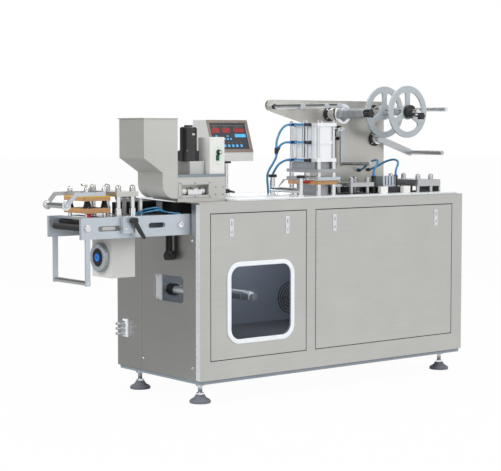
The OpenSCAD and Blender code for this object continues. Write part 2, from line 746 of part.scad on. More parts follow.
// Pieces bolted to the back plate: bearing bosses, idle rollers and the outfeed arm
reel_in = 54;
reel_up = 298;
spindle_in = 274;
spindle_up = 290;
left_dancer_in = 232;
left_dancer_up = 222;
right_dancer_in = 50;
right_dancer_up = 200;
reel_x = stand_right - reel_in;
reel_z = cabinet_h + reel_up;
spindle_foil_x = stand_right - spindle_in;
spindle_foil_z = cabinet_h + spindle_up;
left_dancer_x = stand_right - left_dancer_in;
left_dancer_z = cabinet_h + left_dancer_up;
right_dancer_x = stand_right - right_dancer_in;
right_dancer_z = cabinet_h + right_dancer_up;
boss_r = 20;
boss_l = 22;
shaft_r = 9;
boss_at = [[reel_x, reel_z], [spindle_foil_x, spindle_foil_z], [left_dancer_x, left_dancer_z],
  [right_dancer_x, right_dancer_z]];
idler_in = [546, 436, 378];
idler_drop = [25, 23, 21];
idler_at = [for (i = [0 : 2]) [stand_right - idler_in[i], stand_z - idler_drop[i]]];
idler_r = 8;
idler_l = 175;
outfeed_reach = 130;
outfeed_up = 308;
outfeed_x = stand_right + outfeed_reach;
outfeed_z = cabinet_h + outfeed_up;
outfeed_l = 195;
outfeed_t = 8;
module plate_fittings() color("silver") placed() {
  for (p = boss_at) difference() {
    bar_y(p[0], p[1], boss_r, stand_y - boss_l, stand_y);
    bar_y(p[0], p[1], shaft_r + run_fit, stand_y - boss_l - 1, stand_y + 1);
  }
  for (p = idler_at) bar_y(p[0], p[1], idler_r, stand_y - idler_l, stand_y);
  translate([0, stand_y, 0]) rotate([90, 0, 0]) linear_extrude(outfeed_t) polygon([
    [stand_right - 26, stand_z - 8], [stand_right - 26, stand_z - 30],
    [outfeed_x, outfeed_z - 8], [outfeed_x, outfeed_z + 8]]);
  bar_y(outfeed_x, outfeed_z, idler_r, stand_y - outfeed_l, stand_y);
}

// Film reel: two spoked flanges on a shaft that turns in its boss
rim_t = 22;
reel_hub_r = 24;
spoke_w = 20;
reel_front = line_y - reel_gap / 2 - flange_t;
reel_rear = line_y + reel_gap / 2;
spoke_fillet = 9;
module reel_opening() offset(r = spoke_fillet) offset(delta = -spoke_fillet) difference() {
  circle(reel_r - rim_t, $fn = 96);
  circle(reel_hub_r + 4);
  for (a = [30, 150, 270]) rotate(a) translate([0, -spoke_w / 2]) square([reel_r, spoke_w]);
}
module reel_flange(y) translate([reel_x, y, reel_z]) rotate([-90, 0, 0]) linear_extrude(flange_t)
  difference() {
    circle(reel_r, $fn = 96);
    reel_opening();
    circle(shaft_r + run_fit);
  }
module reel_flanges() color("lightgray") placed() {
  reel_flange(reel_front);
  reel_flange(reel_rear);
}
core_r = 14;
hub_t = 16;
stub_l = 40;
lock_rod_r = 4;
lock_rod_drop = 16;
lock_grip_r = 13;
lock_grip_h = 18;
collar_gap = 5;
module reel_shaft() color("silver") placed() {
  bar_y(reel_x, reel_z, shaft_r, reel_front - hub_t - stub_l + collar_gap, stand_y);
  bar_y(reel_x, reel_z, core_r, reel_front + flange_t, reel_rear);
  bar_y(reel_x, reel_z, reel_hub_r, reel_front - hub_t, reel_front);
  bar_y(reel_x, reel_z, reel_hub_r, reel_rear + flange_t, stand_y - boss_l - seat_gap);
  bar_y(reel_x, reel_z - lock_rod_drop, lock_rod_r, reel_front - hub_t - stub_l, reel_front - hub_t);
  translate([reel_x, reel_front - hub_t - stub_l, reel_z - lock_rod_drop]) rotate([90, 0, 0])
    star_grip(lock_grip_r, lock_grip_h);
}

// Foil spindle: stop disc, barrel and star grip on a shaft that turns in its boss
barrel_r = 16;
stop_disc_r = 36;
stop_disc_t = 8;
stop_disc_y = line_y + 40;
barrel_y = line_y - 78;
spindle_hub_r = 22;
grip_r = 16;
grip_h = 20;
module foil_spindle() color("silver") placed() {
  bar_y(spindle_foil_x, spindle_foil_z, shaft_r, barrel_y - collar_gap, stand_y);
  bar_y(spindle_foil_x, spindle_foil_z, stop_disc_r, stop_disc_y, stop_disc_y + stop_disc_t);
  bar_y(spindle_foil_x, spindle_foil_z, barrel_r, barrel_y, stop_disc_y);
  bar_y(spindle_foil_x, spindle_foil_z, spindle_hub_r, stop_disc_y + stop_disc_t,
    stand_y - boss_l - seat_gap);
  translate([spindle_foil_x, barrel_y - collar_gap, spindle_foil_z]) rotate([90, 0, 0])
    star_grip(grip_r, grip_h);
}

// Dancer arms: a flat arm on a pivot shaft, with a roller across the line at its end
dancer_t = 9;
left_dancer_l = 109;
right_dancer_l = 168;
right_dancer_angle = 18;
dancer_w = 24;
module dancer(x, z, l, angle, roller_l) {
  y = stand_y - boss_l - seat_gap - dancer_t;
  translate([x, y, z]) rotate([0, angle, 0]) rotate([-90, 0, 0]) {
    cylinder(r = shaft_r, h = stand_y - y);
    cylinder(r = dancer_w / 2, h = dancer_t);
    translate([l, 0, 0]) cylinder(r = dancer_w / 2, h = dancer_t);
    translate([0, -dancer_w / 2, 0]) cube([l, dancer_w, dancer_t]);
    translate([l, 0, -roller_l]) cylinder(r = idler_r, h = roller_l);
  }
}
left_roller_l = 145;
right_roller_l = 165;
module left_dancer() color("silver") placed()
  dancer(left_dancer_x, left_dancer_z, left_dancer_l, 90, left_roller_l);
module right_dancer() color("silver") placed()
  dancer(right_dancer_x, right_dancer_z, right_dancer_l, right_dancer_angle, right_roller_l);

// Sealing station: two square cylinders over a press that slides on four posts
seal_from_end = 641;
seal_x = cabinet_l - seal_from_end;
seal_mid_x = seal_x + cylinder_l / 2;
cylinder_up = 122;
cylinder_z = cabinet_h + cylinder_up;
cap_t = 12;
middle_cap_t = 10;
body_round = 24;
body_in = 4;
tie_r = 4;
tie_in = 7;
sensor_slot = 5;
press_rod_r = 8;
seal_post_r = 8;
platen_t = 12;
platen_l = 96;
platen_w = 168;
heater_h = 25;
press_gap = 5;
platen_z = cylinder_z - heater_h - platen_t;
lower_plate_z = platen_z - press_stroke - press_gap - platen_t;
cylinder_y = [line_y - cylinder_w, line_y + seat_gap];
rod_in = 40;
module rounded_square(w, d, r) {
  translate([r, 0]) square([w - 2 * r, d]);
  translate([0, r]) square([w, d - 2 * r]);
  for (x = [r, w - r], y = [r, d - r]) translate([x, y]) circle(r);
}
module cylinder_profile() difference() {
  translate([body_in, body_in])
    rounded_square(cylinder_l - 2 * body_in, cylinder_w - seat_gap - 2 * body_in, body_round);
  translate([body_in - 1, cylinder_w / 2 - sensor_slot / 2]) square([sensor_slot, sensor_slot]);
  translate([cylinder_l - body_in - sensor_slot + 1, cylinder_w / 2 - sensor_slot / 2])
    square([sensor_slot, sensor_slot]);
}
module seal_cylinders() color("gainsboro") placed() for (y = cylinder_y) translate([seal_x, y, cylinder_z])
  difference() {
    union() {
      linear_extrude(cylinder_h) cylinder_profile();
      for (z = [0, cylinder_h - cap_t]) translate([0, 0, z]) cube([cylinder_l, cylinder_w - seat_gap, cap_t]);
      translate([0, 0, cylinder_h / 2 - middle_cap_t / 2]) linear_extrude(middle_cap_t)
        translate([1, 1]) rounded_square(cylinder_l - 2, cylinder_w - seat_gap - 2, body_round);
      for (px = [tie_in, cylinder_l - tie_in], py = [tie_in, cylinder_w - seat_gap - tie_in])
        post(px, py, tie_r, 0, cylinder_h);
    }
    post(cylinder_l / 2, cylinder_w / 2, press_rod_r + run_fit, -1, rod_in + press_stroke + cap_t);
  }

// Black hose fittings on the cylinders' left faces, and the branch piece that the main hose runs through
hose_r = 4;
fitting_l = 26;
fitting_r = 5;
fitting_z = [cylinder_z + cap_t / 2, cylinder_z + cylinder_h / 2, cylinder_z + cylinder_h - cap_t / 2];
fitting_y = [line_y - cylinder_w / 2, line_y + cylinder_w / 2];
tee_at = [seal_x - 83, line_y + 45];
tee_h = 20;
tee_low = cylinder_z + 28;
tee_high = tee_low + tee_h;
tee_r = 7;
branch_up = 4;
branch_l = 20;
branch_turn = 34;
branch_way = [sin(branch_turn), 0, cos(branch_turn)];
branch_end = [tee_at[0], tee_at[1], tee_low + branch_up] + branch_l * branch_way;
module cylinder_fittings() color("black") placed() {
  for (y = fitting_y, z = fitting_z) bar_x(y, z, fitting_r, seal_x - fitting_l, seal_x);
  difference() {
    union() {
      post(tee_at[0], tee_at[1], tee_r, tee_low, tee_high);
      translate([tee_at[0], tee_at[1], tee_low + branch_up]) rotate([0, branch_turn, 0])
        cylinder(h = branch_l, r = fitting_r);
    }
    post(tee_at[0], tee_at[1], hose_r + run_fit, tee_low - 1, tee_high + 1);
  }
}

// Press frame: base, insulating board and lower plate, and the posts that carry the cylinders
seal_base_in = 26;
seal_board_in = 4;
seal_board_t = 14;
seal_post_in = 14;
seal_post_at = [for (x = [seal_mid_x - platen_l / 2 + seal_post_in, seal_mid_x + platen_l / 2 - seal_post_in],
  s = [-1, 1]) [x, line_y + s * (platen_w / 2 - 12)]];
module seal_plate(inset, z, t) block([seal_mid_x - platen_l / 2 + inset, line_y - platen_w / 2 + inset, z],
  [seal_mid_x + platen_l / 2 - inset, line_y + platen_w / 2 - inset, z + t]);
module seal_frame() color("gainsboro") placed() {
  seal_plate(0, lower_plate_z, platen_t);
  seal_plate(seal_board_in, lower_plate_z - seal_board_t, seal_board_t);
  seal_plate(seal_base_in, work_top, lower_plate_z - seal_board_t - work_top);
  for (p = seal_post_at) post(p[0], p[1], seal_post_r, work_top, cylinder_z);
}

// Press: platen and heater block, sliding on the posts and pushed by the cylinder rods
heater_in = 22;
module heater_block() color("dimgray") placed() {
  difference() {
    seal_plate(0, platen_z, platen_t);
    for (p = seal_post_at) post(p[0], p[1], seal_post_r + run_fit, platen_z - 1, platen_z + platen_t + 1);
  }
  block([seal_mid_x - platen_l / 2 + 4, line_y - platen_w / 2 + heater_in, platen_z + platen_t],
    [seal_mid_x + platen_l / 2 - 4, line_y + platen_w / 2 - heater_in, cylinder_z - seat_gap]);
  for (y = cylinder_y)
    post(seal_mid_x, y + cylinder_w / 2, press_rod_r, platen_z + platen_t, cylinder_z + rod_in);
}

// Guide frame before the press: two pillars with star grips and a roller between them
guide_from_end = 726;
guide_frame_x = cabinet_l - guide_from_end;
guide_frame_gap = 150;
guide_frame_y = line_y - 12;
pillar_r = 7.5;
pillar_foot = 13;
pillar_foot_h = 6;
pillar_h = 62;
pillar_grip_r = 15;
guide_roller_r = 9;
guide_roller_up = 20;
module guide_frame() color("silver") placed() {
  for (s = [-1, 1]) translate([guide_frame_x, guide_frame_y + s * guide_frame_gap / 2, work_top]) {
    post(0, 0, pillar_foot, 0, pillar_foot_h);
    post(0, 0, pillar_r, 0, pillar_h);
    translate([0, 0, pillar_h]) star_grip(pillar_grip_r, 10);
  }
  bar_y(guide_frame_x, work_top + guide_roller_up, guide_roller_r, guide_frame_y - guide_frame_gap / 2,
    guide_frame_y + guide_frame_gap / 2);
}

// Stations on four posts with acorn nuts: shared by the indent and the punch stations
station_post_r = 7;
module posted_plate(x, l, w, z, t, in_left, in_right, in_side) {
  block([x, line_y - w / 2, z], [x + l, line_y + w / 2, z + t]);
  for (px = [x + in_left, x + l - in_right], s = [-1, 1]) {
    post(px, line_y + s * (w / 2 - in_side), station_post_r, work_top, z);
    acorn_nut(px, line_y + s * (w / 2 - in_side), z + t);
  }
}

// Indent station: its plate, and a round guide plate on one post beside it
indent_from_end = 462;
indent_x = cabinet_l - indent_from_end;
indent_l = 112;
indent_w = 100;
indent_t = 15;
indent_z = cabinet_h + 31;
indent_in = 17;
guide_plate_x = indent_x - 36;
guide_plate_r = 34;
guide_plate_t = 7;
module indent_station() color("silver") placed() {
  posted_plate(indent_x, indent_l, indent_w, indent_z, indent_t, indent_in, indent_in, indent_in);
  post(guide_plate_x, line_y, guide_plate_r, indent_z + 2, indent_z + 2 + guide_plate_t);
  post(guide_plate_x, line_y, station_post_r, work_top, indent_z + 2);
  acorn_nut(guide_plate_x, line_y, indent_z + 2 + guide_plate_t);
}

// Film gripper: ribbed block on a base, two film guide blocks and two hose fittings
gripper_from_end = 288;
gripper_x = cabinet_l - gripper_from_end;
gripper_l = 62;
gripper_w = 64;
gripper_h = 38;
gripper_base_t = 22;
gripper_base_w = 100;
rib_w = 6;
rib_step = 15;
gripper_base_x = [gripper_x - 24, gripper_x + 92];
film_guide_x = [gripper_x - 42, gripper_x + 70];
film_guide_l = 34;
film_guide_w = 16;
film_guide_h = 24;
film_guide_y = line_y - gripper_base_w / 2 - film_guide_w;
indent_fitting = [gripper_x - 50, line_y - 35];
gripper_fitting = [gripper_x + 70, line_y - 24];
hose_fitting_r = 7;
hose_fitting_top = 640;
module film_gripper() color("gainsboro") placed() {
  block([gripper_base_x[0], line_y - gripper_base_w / 2, work_top],
    [gripper_base_x[1], line_y + gripper_base_w / 2, work_top + gripper_base_t]);
  difference() {
    block([gripper_x, line_y - gripper_w / 2, work_top + gripper_base_t],
      [gripper_x + gripper_l, line_y + gripper_w / 2, work_top + gripper_base_t + gripper_h]);
    for (x = [gripper_x + rib_step - rib_w : rib_step : gripper_x + gripper_l - rib_w])
      block([x, line_y - gripper_w / 2 - 1, work_top + gripper_base_t + 6],
        [x + rib_w, line_y - gripper_w / 2 + 8, work_top + gripper_base_t + gripper_h + 1]);
  }
  for (x = film_guide_x)
    block([x, film_guide_y, work_top],
      [x + film_guide_l, film_guide_y + film_guide_w, work_top + film_guide_h]);
  post(indent_fitting[0], indent_fitting[1], hose_fitting_r, work_top, hose_fitting_top);
  post(gripper_fitting[0], gripper_fitting[1], hose_fitting_r, work_top + gripper_base_t, hose_fitting_top);
}

// Punch station at the right end, with its end bracket
punch_from_end = 166;
punch_x = cabinet_l - punch_from_end;
punch_l = 112;
punch_w = 172;
punch_t = 24;
punch_z = cabinet_h + 28;
punch_in = 15;
punch_in_right = 31;
bracket_t = 8;
bracket_w = 100;
bracket_h = 44;
bracket_x = cabinet_l - 20;
module punch_station() color("silver") placed() {
  posted_plate(punch_x, punch_l, punch_w, punch_z, punch_t, punch_in, punch_in_right, punch_in);
  block([bracket_x, line_y - bracket_w / 2, work_top],
    [bracket_x + bracket_t, line_y + bracket_w / 2, work_top + bracket_h]);
}

// Air hoses between fittings, along routes chosen by eye
hose_start = seal_x - fitting_l;
seal_hose_main_route = [[hose_start, fitting_y[1], fitting_z[2]],
  [hose_start - 8, fitting_y[1], fitting_z[2]],
  [516, 189, 820], [506, 190, 815], [497, 192, 806], [489, 193, 795], [483, 194, 782], [478, 195, 768],
  [476, 195, tee_high + 12], [476, 195, tee_high], [476, 195, tee_low], [476, 196, tee_low - 10],
  [473, 202, 698], [470, 210, 684], [468, 221, 670], [467, 231, 655], [468, 236, 638], [471, 238, 620],
  [473, 238, 600], [474, 238, work_top]];
seal_hose_mid_route = [[hose_start, fitting_y[1], fitting_z[1]], [hose_start - 3, fitting_y[1], fitting_z[1]],
  [527, 188.5, 761], [524, 188.6, 761], [521, 188.8, 761], [518, 189.2, 761], [513, 190, 760.5],
  [508.5, 190.5, 759.5], [504, 191.5, 757.8], [500, 192.5, 755.8], [496, 193.5, 753], [492.5, 194.5, 749.6],
  branch_end + 4 * branch_way, branch_end + 2 * branch_way, branch_end];
seal_hose_low_route = [[hose_start, fitting_y[1], fitting_z[0]], [hose_start - 8, fitting_y[1], fitting_z[0]],
  [515, 189.5, 699], [506.5, 191.5, 696], [499, 195.5, 691.5], [493, 200.5, 686], [489.5, 206, 679],
  [488, 212, 671.5], [488, 218.5, 664], [488, 225, 656], [488, 231, 647.5], [488, 235.5, 638],
  [488, 238.5, 628], [488, 240, 617], [488, 240, 598], [488, 240, work_top]];
indent_hose_route = [[862, 115, hose_fitting_top], [862, 115, 648], [863.5, 115.5, 656], [867.5, 116.5, 664],
  [873.5, 118.5, 671.5], [881, 121.5, 678], [889.5, 126, 683.5], [898, 132, 688], [906, 140, 691.5],
  [913, 150, 694], [918.5, 162, 695], [923, 176, 694.5], [926.5, 191, 691.5], [929, 206, 686],
  [930.5, 220, 679], [931, 233, 670.5], [931, 245, 663.5], [931, stand_y - 12, 659], [931, stand_y, 657]];
gripper_hose_route = [[982, 126, hose_fitting_top], [982, 126, 648], [983.5, 126.5, 656], [987.5, 127.5, 664],
  [993, 129.5, 671.5], [999.5, 133, 678.5], [1005.5, 138, 685], [1010.5, 145, 690], [1013.5, 154, 693.5],
  [1014.5, 164, 695.5], [1013, 176, 695.5], [1009.5, 188.5, 693], [1004.5, 201, 688.5], [998.5, 213, 682.5],
  [992.5, 224.5, 675.5], [987, 235.5, 669], [982.5, 246.5, 663.5], [979, stand_y - 11, 659.5],
  [978, stand_y, 658]];
module seal_hose_main() color("steelblue") placed() tube(seal_hose_main_route, hose_r);
module seal_hose_mid() color("steelblue") placed() tube(seal_hose_mid_route, hose_r);
module seal_hose_low() color("steelblue") placed() tube(seal_hose_low_route, hose_r);
module indent_hose() color("steelblue") placed() tube(indent_hose_route, hose_r);
module gripper_hose() color("steelblue") placed() tube(gripper_hose_route, hose_r);

base_plate();
foot_pads();
foot_rods();
front_frame();
left_panel();
right_panel();
window_seal();
window_pane();
panel_locks();
rear_wall();
left_end_panel();
service_panel();
right_end_panel();
cabinet_top();
work_plate();
inner_floor();
film_spindle();
fan_grille();
hose_connectors();
side_rails();
end_roller();
guide_arms();
upper_guide_roller();
lower_guide_roller();
clamp_block();
clamp_lever();
heating_boards();
heating_fittings();
forming_station();
film_track();
drive_box();
drive_flange();
conduit();
hopper();
feeder_housing();
feeder_gearbox();
feeder_motor();
speed_box();
panel_post();
control_panel();
back_plate();
plate_fittings();
reel_flanges();
reel_shaft();
foil_spindle();
left_dancer();
right_dancer();
seal_cylinders();
cylinder_fittings();
seal_frame();
heater_block();
guide_frame();
indent_station();
film_gripper();
punch_station();
seal_hose_main();
seal_hose_mid();
seal_hose_low();
indent_hose();
gripper_hose();
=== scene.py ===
# Blister packing machine: the looks of every piece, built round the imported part.
# Places are in working millimetres: x from the cabinet's left end, y from its front, z from its lower edge.
import json
import math

import bmesh
import bpy
from mathutils import Matrix, Vector

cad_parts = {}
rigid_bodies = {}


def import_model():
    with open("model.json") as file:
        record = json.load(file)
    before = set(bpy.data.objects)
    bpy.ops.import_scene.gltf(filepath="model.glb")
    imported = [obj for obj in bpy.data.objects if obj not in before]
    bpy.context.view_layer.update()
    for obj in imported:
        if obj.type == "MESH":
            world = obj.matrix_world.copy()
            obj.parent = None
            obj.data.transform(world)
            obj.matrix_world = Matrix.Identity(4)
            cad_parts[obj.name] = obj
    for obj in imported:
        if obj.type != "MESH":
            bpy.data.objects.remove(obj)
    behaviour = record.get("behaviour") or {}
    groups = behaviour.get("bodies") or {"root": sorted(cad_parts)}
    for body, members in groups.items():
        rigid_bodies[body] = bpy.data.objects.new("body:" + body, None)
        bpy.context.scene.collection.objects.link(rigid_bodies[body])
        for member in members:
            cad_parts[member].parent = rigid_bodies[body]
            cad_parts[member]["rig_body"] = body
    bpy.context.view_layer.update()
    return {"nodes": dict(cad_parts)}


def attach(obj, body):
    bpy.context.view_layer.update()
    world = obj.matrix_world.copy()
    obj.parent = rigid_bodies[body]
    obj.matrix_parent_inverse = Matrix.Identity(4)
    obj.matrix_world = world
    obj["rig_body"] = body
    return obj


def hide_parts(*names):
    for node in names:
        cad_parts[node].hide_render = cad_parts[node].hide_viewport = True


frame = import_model()

# Camera
# It stands where the photograph was taken from, at about the height of the foil stand.
CAMERA_PLACE = (-3.153, -3.971, 0.874)
CAMERA_DIP, CAMERA_TURN = 3.99, -38.6
scene = bpy.context.scene
scene.view_settings.view_transform = "Standard"
camera_data = bpy.data.cameras.new("camera")
camera_data.sensor_width = 36
camera_data.lens = 105.8
camera_data.clip_end = 100
camera = bpy.data.objects.new("camera", camera_data)
camera.location = CAMERA_PLACE
camera.rotation_euler = (math.radians(90 - CAMERA_DIP), 0, math.radians(CAMERA_TURN))
scene.collection.objects.link(camera)
scene.camera = camera

# Air hoses
# Blue polyurethane tube, 8 mm, pushed into fittings at both ends; it keeps its bends by its own stiffness.
# One shared node group gives every material its grain, smudges and dust.
MM = 0.001
ORIGIN = Vector((376, 235, -80))


def at(x, y, z):
    """Metres in the part's frame, from working millimetres."""
    return (Vector((x, y, z)) - ORIGIN) * MM


def linear(colour):
    """Linear RGBA of a colour written as a hex string."""
    parts = [int(colour[i:i + 2], 16) / 255 for i in (1, 3, 5)]
    return [c / 12.92 if c <= 0.04045 else ((c + 0.055) / 1.055) ** 2.4 for c in parts] + [1]


def arithmetic(tree, operation, first, second, clamp=False):
    """The output of a math node on two values, each a socket or a number."""
    node = tree.nodes.new("ShaderNodeMath")
    node.operation = operation
    node.use_clamp = clamp
    for socket, value in zip(node.inputs, (first, second)):
        if isinstance(value, (int, float)):
            socket.default_value = value
        else:
            tree.links.new(value, socket)
    return node.outputs[0]


def span(tree, value, low, high, start=0, full=1, easing="LINEAR"):
    """The output of a map range node: low where a value is at start, high where it is at full."""
    node = tree.nodes.new("ShaderNodeMapRange")
    node.interpolation_type = easing
    for name, number in (("From Min", start), ("From Max", full), ("To Min", low), ("To Max", high)):
        node.inputs[name].default_value = number
    tree.links.new(value, node.inputs["Value"])
    return node.outputs[0]


def surface_group():
    """Grain stretched along chosen directions, wide smudges, and dust that lies on upward faces."""
    group = bpy.data.node_groups.new("surface_detail", "ShaderNodeTree")
    group.interface.new_socket("Stretch", in_out="INPUT", socket_type="NodeSocketVector")
    for name in ("Grain", "Smudge", "Dust"):
        group.interface.new_socket(name, in_out="OUTPUT", socket_type="NodeSocketFloat")
    nodes, links = group.nodes, group.links
    given, result = nodes.new("NodeGroupInput"), nodes.new("NodeGroupOutput")
    coords = nodes.new("ShaderNodeTexCoord")
    stretched = nodes.new("ShaderNodeVectorMath")
    stretched.operation = "MULTIPLY"
    links.new(coords.outputs["Object"], stretched.inputs[0])
    links.new(given.outputs["Stretch"], stretched.inputs[1])
    fine = nodes.new("ShaderNodeTexNoise")
    fine.inputs["Scale"].default_value = 1
    fine.inputs["Detail"].default_value = 4
    links.new(stretched.outputs[0], fine.inputs["Vector"])
    links.new(fine.outputs["Fac"], result.inputs["Grain"])
    wide = nodes.new("ShaderNodeTexNoise")
    wide.inputs["Scale"].default_value = 7
    wide.inputs["Detail"].default_value = 6
    wide.inputs["Roughness"].default_value = 0.65
    links.new(coords.outputs["Object"], wide.inputs["Vector"])
    links.new(wide.outputs["Fac"], result.inputs["Smudge"])
    facing = nodes.new("ShaderNodeNewGeometry")
    split = nodes.new("ShaderNodeSeparateXYZ")
    links.new(facing.outputs["Normal"], split.inputs[0])
    dust = arithmetic(group, "MULTIPLY", split.outputs["Z"], wide.outputs["Fac"], clamp=True)
    links.new(dust, result.inputs["Dust"])
    return group


SURFACE = surface_group()
DUST_COLOUR = "#b7b3ab"
# Sockets of a colour mix node: its two colours and its result.
COLOUR_A, COLOUR_B, MIXED = 6, 7, 2


def finish(name, colour, metallic, rough, stretch, tone=0.06, spread=0.08, bump=0.02, coat=0.0, dust=0.0):
    """A material: its colour varied by grain and smudges, its roughness by smudges, and a fine bump."""
    material = bpy.data.materials.new(name)
    material.use_nodes = True
    tree = material.node_tree
    nodes, links = tree.nodes, tree.links
    shader = nodes["Principled BSDF"]
    shader.inputs["Metallic"].default_value = metallic
    shader.inputs["Coat Weight"].default_value = coat
    detail = nodes.new("ShaderNodeGroup")
    detail.node_tree = SURFACE
    detail.inputs["Stretch"].default_value = stretch
    shade = span(tree, detail.outputs["Grain"], 1 - tone, 1 + tone)
    stain = span(tree, detail.outputs["Smudge"], 1 - 0.8 * tone, 1 + 0.8 * tone)
    tinted = nodes.new("ShaderNodeVectorMath")
    tinted.operation = "SCALE"
    tinted.inputs[0].default_value = linear(colour)[:3]
    links.new(arithmetic(tree, "MULTIPLY", shade, stain), tinted.inputs["Scale"])
    settled = nodes.new("ShaderNodeMix")
    settled.data_type = "RGBA"
    settled.inputs[COLOUR_B].default_value = linear(DUST_COLOUR)
    links.new(arithmetic(tree, "MULTIPLY", detail.outputs["Dust"], dust), settled.inputs["Factor"])
    links.new(tinted.outputs[0], settled.inputs[COLOUR_A])
    links.new(settled.outputs[MIXED], shader.inputs["Base Color"])
    dull = span(tree, detail.outputs["Smudge"], max(0.02, rough - spread), rough + spread)
    links.new(dull, shader.inputs["Roughness"])
    relief = nodes.new("ShaderNodeBump")
    relief.inputs["Strength"].default_value = 1
    relief.inputs["Distance"].default_value = bump * MM
    links.new(detail.outputs["Grain"], relief.inputs["Height"])
    links.new(relief.outputs[0], shader.inputs["Normal"])
    return material


HOSE = finish("blue_hose", "#2f7da6", 0, 0.28, (90, 90, 90), tone=0.08, bump=0.02, coat=0.3)
HOSE_R = 4
TEE = Vector((476, 195, 722))
TEE_TOP = 742
BRANCH_TURN = math.radians(34)
BRANCH_WAY = Vector((math.sin(BRANCH_TURN), 0, math.cos(BRANCH_TURN)))
BRANCH_FOOT = TEE + Vector((0, 0, 4))
BRANCH_END = BRANCH_FOOT + 20 * BRANCH_WAY
HOSE_ROUTES = {
    "seal_hose_main": [
        (533, 188.5, 822), (525, 188.5, 822), (516, 189, 820), (506, 190, 815), (497, 192, 806),
        (489, 193, 795), (483, 194, 782), (478, 195, 768), (476, 195, 754), (476, 195, 742),
        (476, 195, 722), (476, 196, 712), (473, 202, 698), (470, 210, 684), (468, 221, 670),
        (467, 231, 655), (468, 236, 638), (471, 238, 620), (473, 238, 600), (474, 238, 578)],
    "seal_hose_mid": [
        (533, 188.5, 761), (530, 188.5, 761), (527, 188.5, 761), (524, 188.6, 761), (521, 188.8, 761),
        (518, 189.2, 761), (513, 190, 760.5), (508.5, 190.5, 759.5), (504, 191.5, 757.8),
        (500, 192.5, 755.8), (496, 193.5, 753), (492.5, 194.5, 749.6), BRANCH_END + 4 * BRANCH_WAY,
        BRANCH_END + 2 * BRANCH_WAY, BRANCH_END],
    "seal_hose_low": [
        (533, 188.5, 700), (525, 188.5, 700), (515, 189.5, 699), (506.5, 191.5, 696), (499, 195.5, 691.5),
        (493, 200.5, 686), (489.5, 206, 679), (488, 212, 671.5), (488, 218.5, 664), (488, 225, 656),
        (488, 231, 647.5), (488, 235.5, 638), (488, 238.5, 628), (488, 240, 617), (488, 240, 598),
        (488, 240, 578)],
    "indent_hose": [
        (862, 115, 640), (862, 115, 648), (863.5, 115.5, 656), (867.5, 116.5, 664), (873.5, 118.5, 671.5),
        (881, 121.5, 678), (889.5, 126, 683.5), (898, 132, 688), (906, 140, 691.5), (913, 150, 694),
        (918.5, 162, 695), (923, 176, 694.5), (926.5, 191, 691.5), (929, 206, 686), (930.5, 220, 679),
        (931, 233, 670.5), (931, 245, 663.5), (931, 256, 659), (931, 268, 657)],
    "gripper_hose": [
        (982, 126, 640), (982, 126, 648), (983.5, 126.5, 656), (987.5, 127.5, 664), (993, 129.5, 671.5),
        (999.5, 133, 678.5), (1005.5, 138, 685), (1010.5, 145, 690), (1013.5, 154, 693.5),
        (1014.5, 164, 695.5), (1013, 176, 695.5), (1009.5, 188.5, 693), (1004.5, 201, 688.5),
        (998.5, 213, 682.5), (992.5, 224.5, 675.5), (987, 235.5, 669), (982.5, 246.5, 663.5),
        (979, 257, 659.5), (978, 268, 658)],
}
for node, route in HOSE_ROUTES.items():
    curve = bpy.data.curves.new(node + "_tube", "CURVE")
    curve.dimensions = "3D"
    curve.bevel_depth = HOSE_R * MM
    curve.bevel_resolution = 5
    curve.resolution_u = 8
    curve.use_fill_caps = True
    spline = curve.splines.new("BEZIER")
    spline.bezier_points.add(len(route) - 1)
    for knot, place in zip(spline.bezier_points, route):
        knot.co = at(*place)
        knot.handle_left_type = knot.handle_right_type = "AUTO"
    curve.materials.append(HOSE)
    tube = bpy.data.objects.new(node + "_tube", curve)
    scene.collection.objects.link(tube)
    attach(tube, "machine")
    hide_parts(node)

# Push-in fittings
# Black moulded elbows screwed into the cylinders' left faces, with blue release collars.
# Short straight lengths of hose bridge the two cylinders at each level, and a tee joins two of the hoses.


def piece(name, bm, material, body="machine", replaces=(), crease=35):
    """Turns a bmesh into a finished piece that rides on a body."""
    mesh = bpy.data.meshes.new(name)
    bm.to_mesh(mesh)
    bm.free()
    mesh.materials.append(material)
    mesh.shade_smooth()
    mesh.set_sharp_from_angle(angle=math.radians(crease))
    made = bpy.data.objects.new(name, mesh)
    scene.collection.objects.link(made)
    even = made.modifiers.new("even_normals", "WEIGHTED_NORMAL")
    even.keep_sharp = True
    even.weight = 100
    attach(made, body)
    if replaces:
        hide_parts(*replaces)
    return made


def break_edges(bm, edges, width, segments=2):
    """Rounds the given edges, width in millimetres."""
    bmesh.ops.bevel(bm, geom=list(edges), offset=width * MM, segments=segments, profile=0.5,
                    affect="EDGES", material=-1, clamp_overlap=True)


def rod(bm, start, end, radius, tip=None, sides=32, width=0.5):
    """Adds a round bar between two points, with broken rims."""
    start, end = at(*start), at(*end)
    run = end - start
    turn = run.to_track_quat("Z", "Y").to_matrix().to_4x4()
    place = Matrix.Translation((start + end) / 2) @ turn
    tip = radius if tip is None else tip
    made = bmesh.ops.create_cone(bm, cap_ends=True, segments=sides, radius1=radius * MM, radius2=tip * MM,
                                 depth=run.length, matrix=place)["verts"]
    if width:
        caps = {f for v in made for f in v.link_faces if len(f.verts) > 4}
        break_edges(bm, {e for f in caps for e in f.edges}, width)


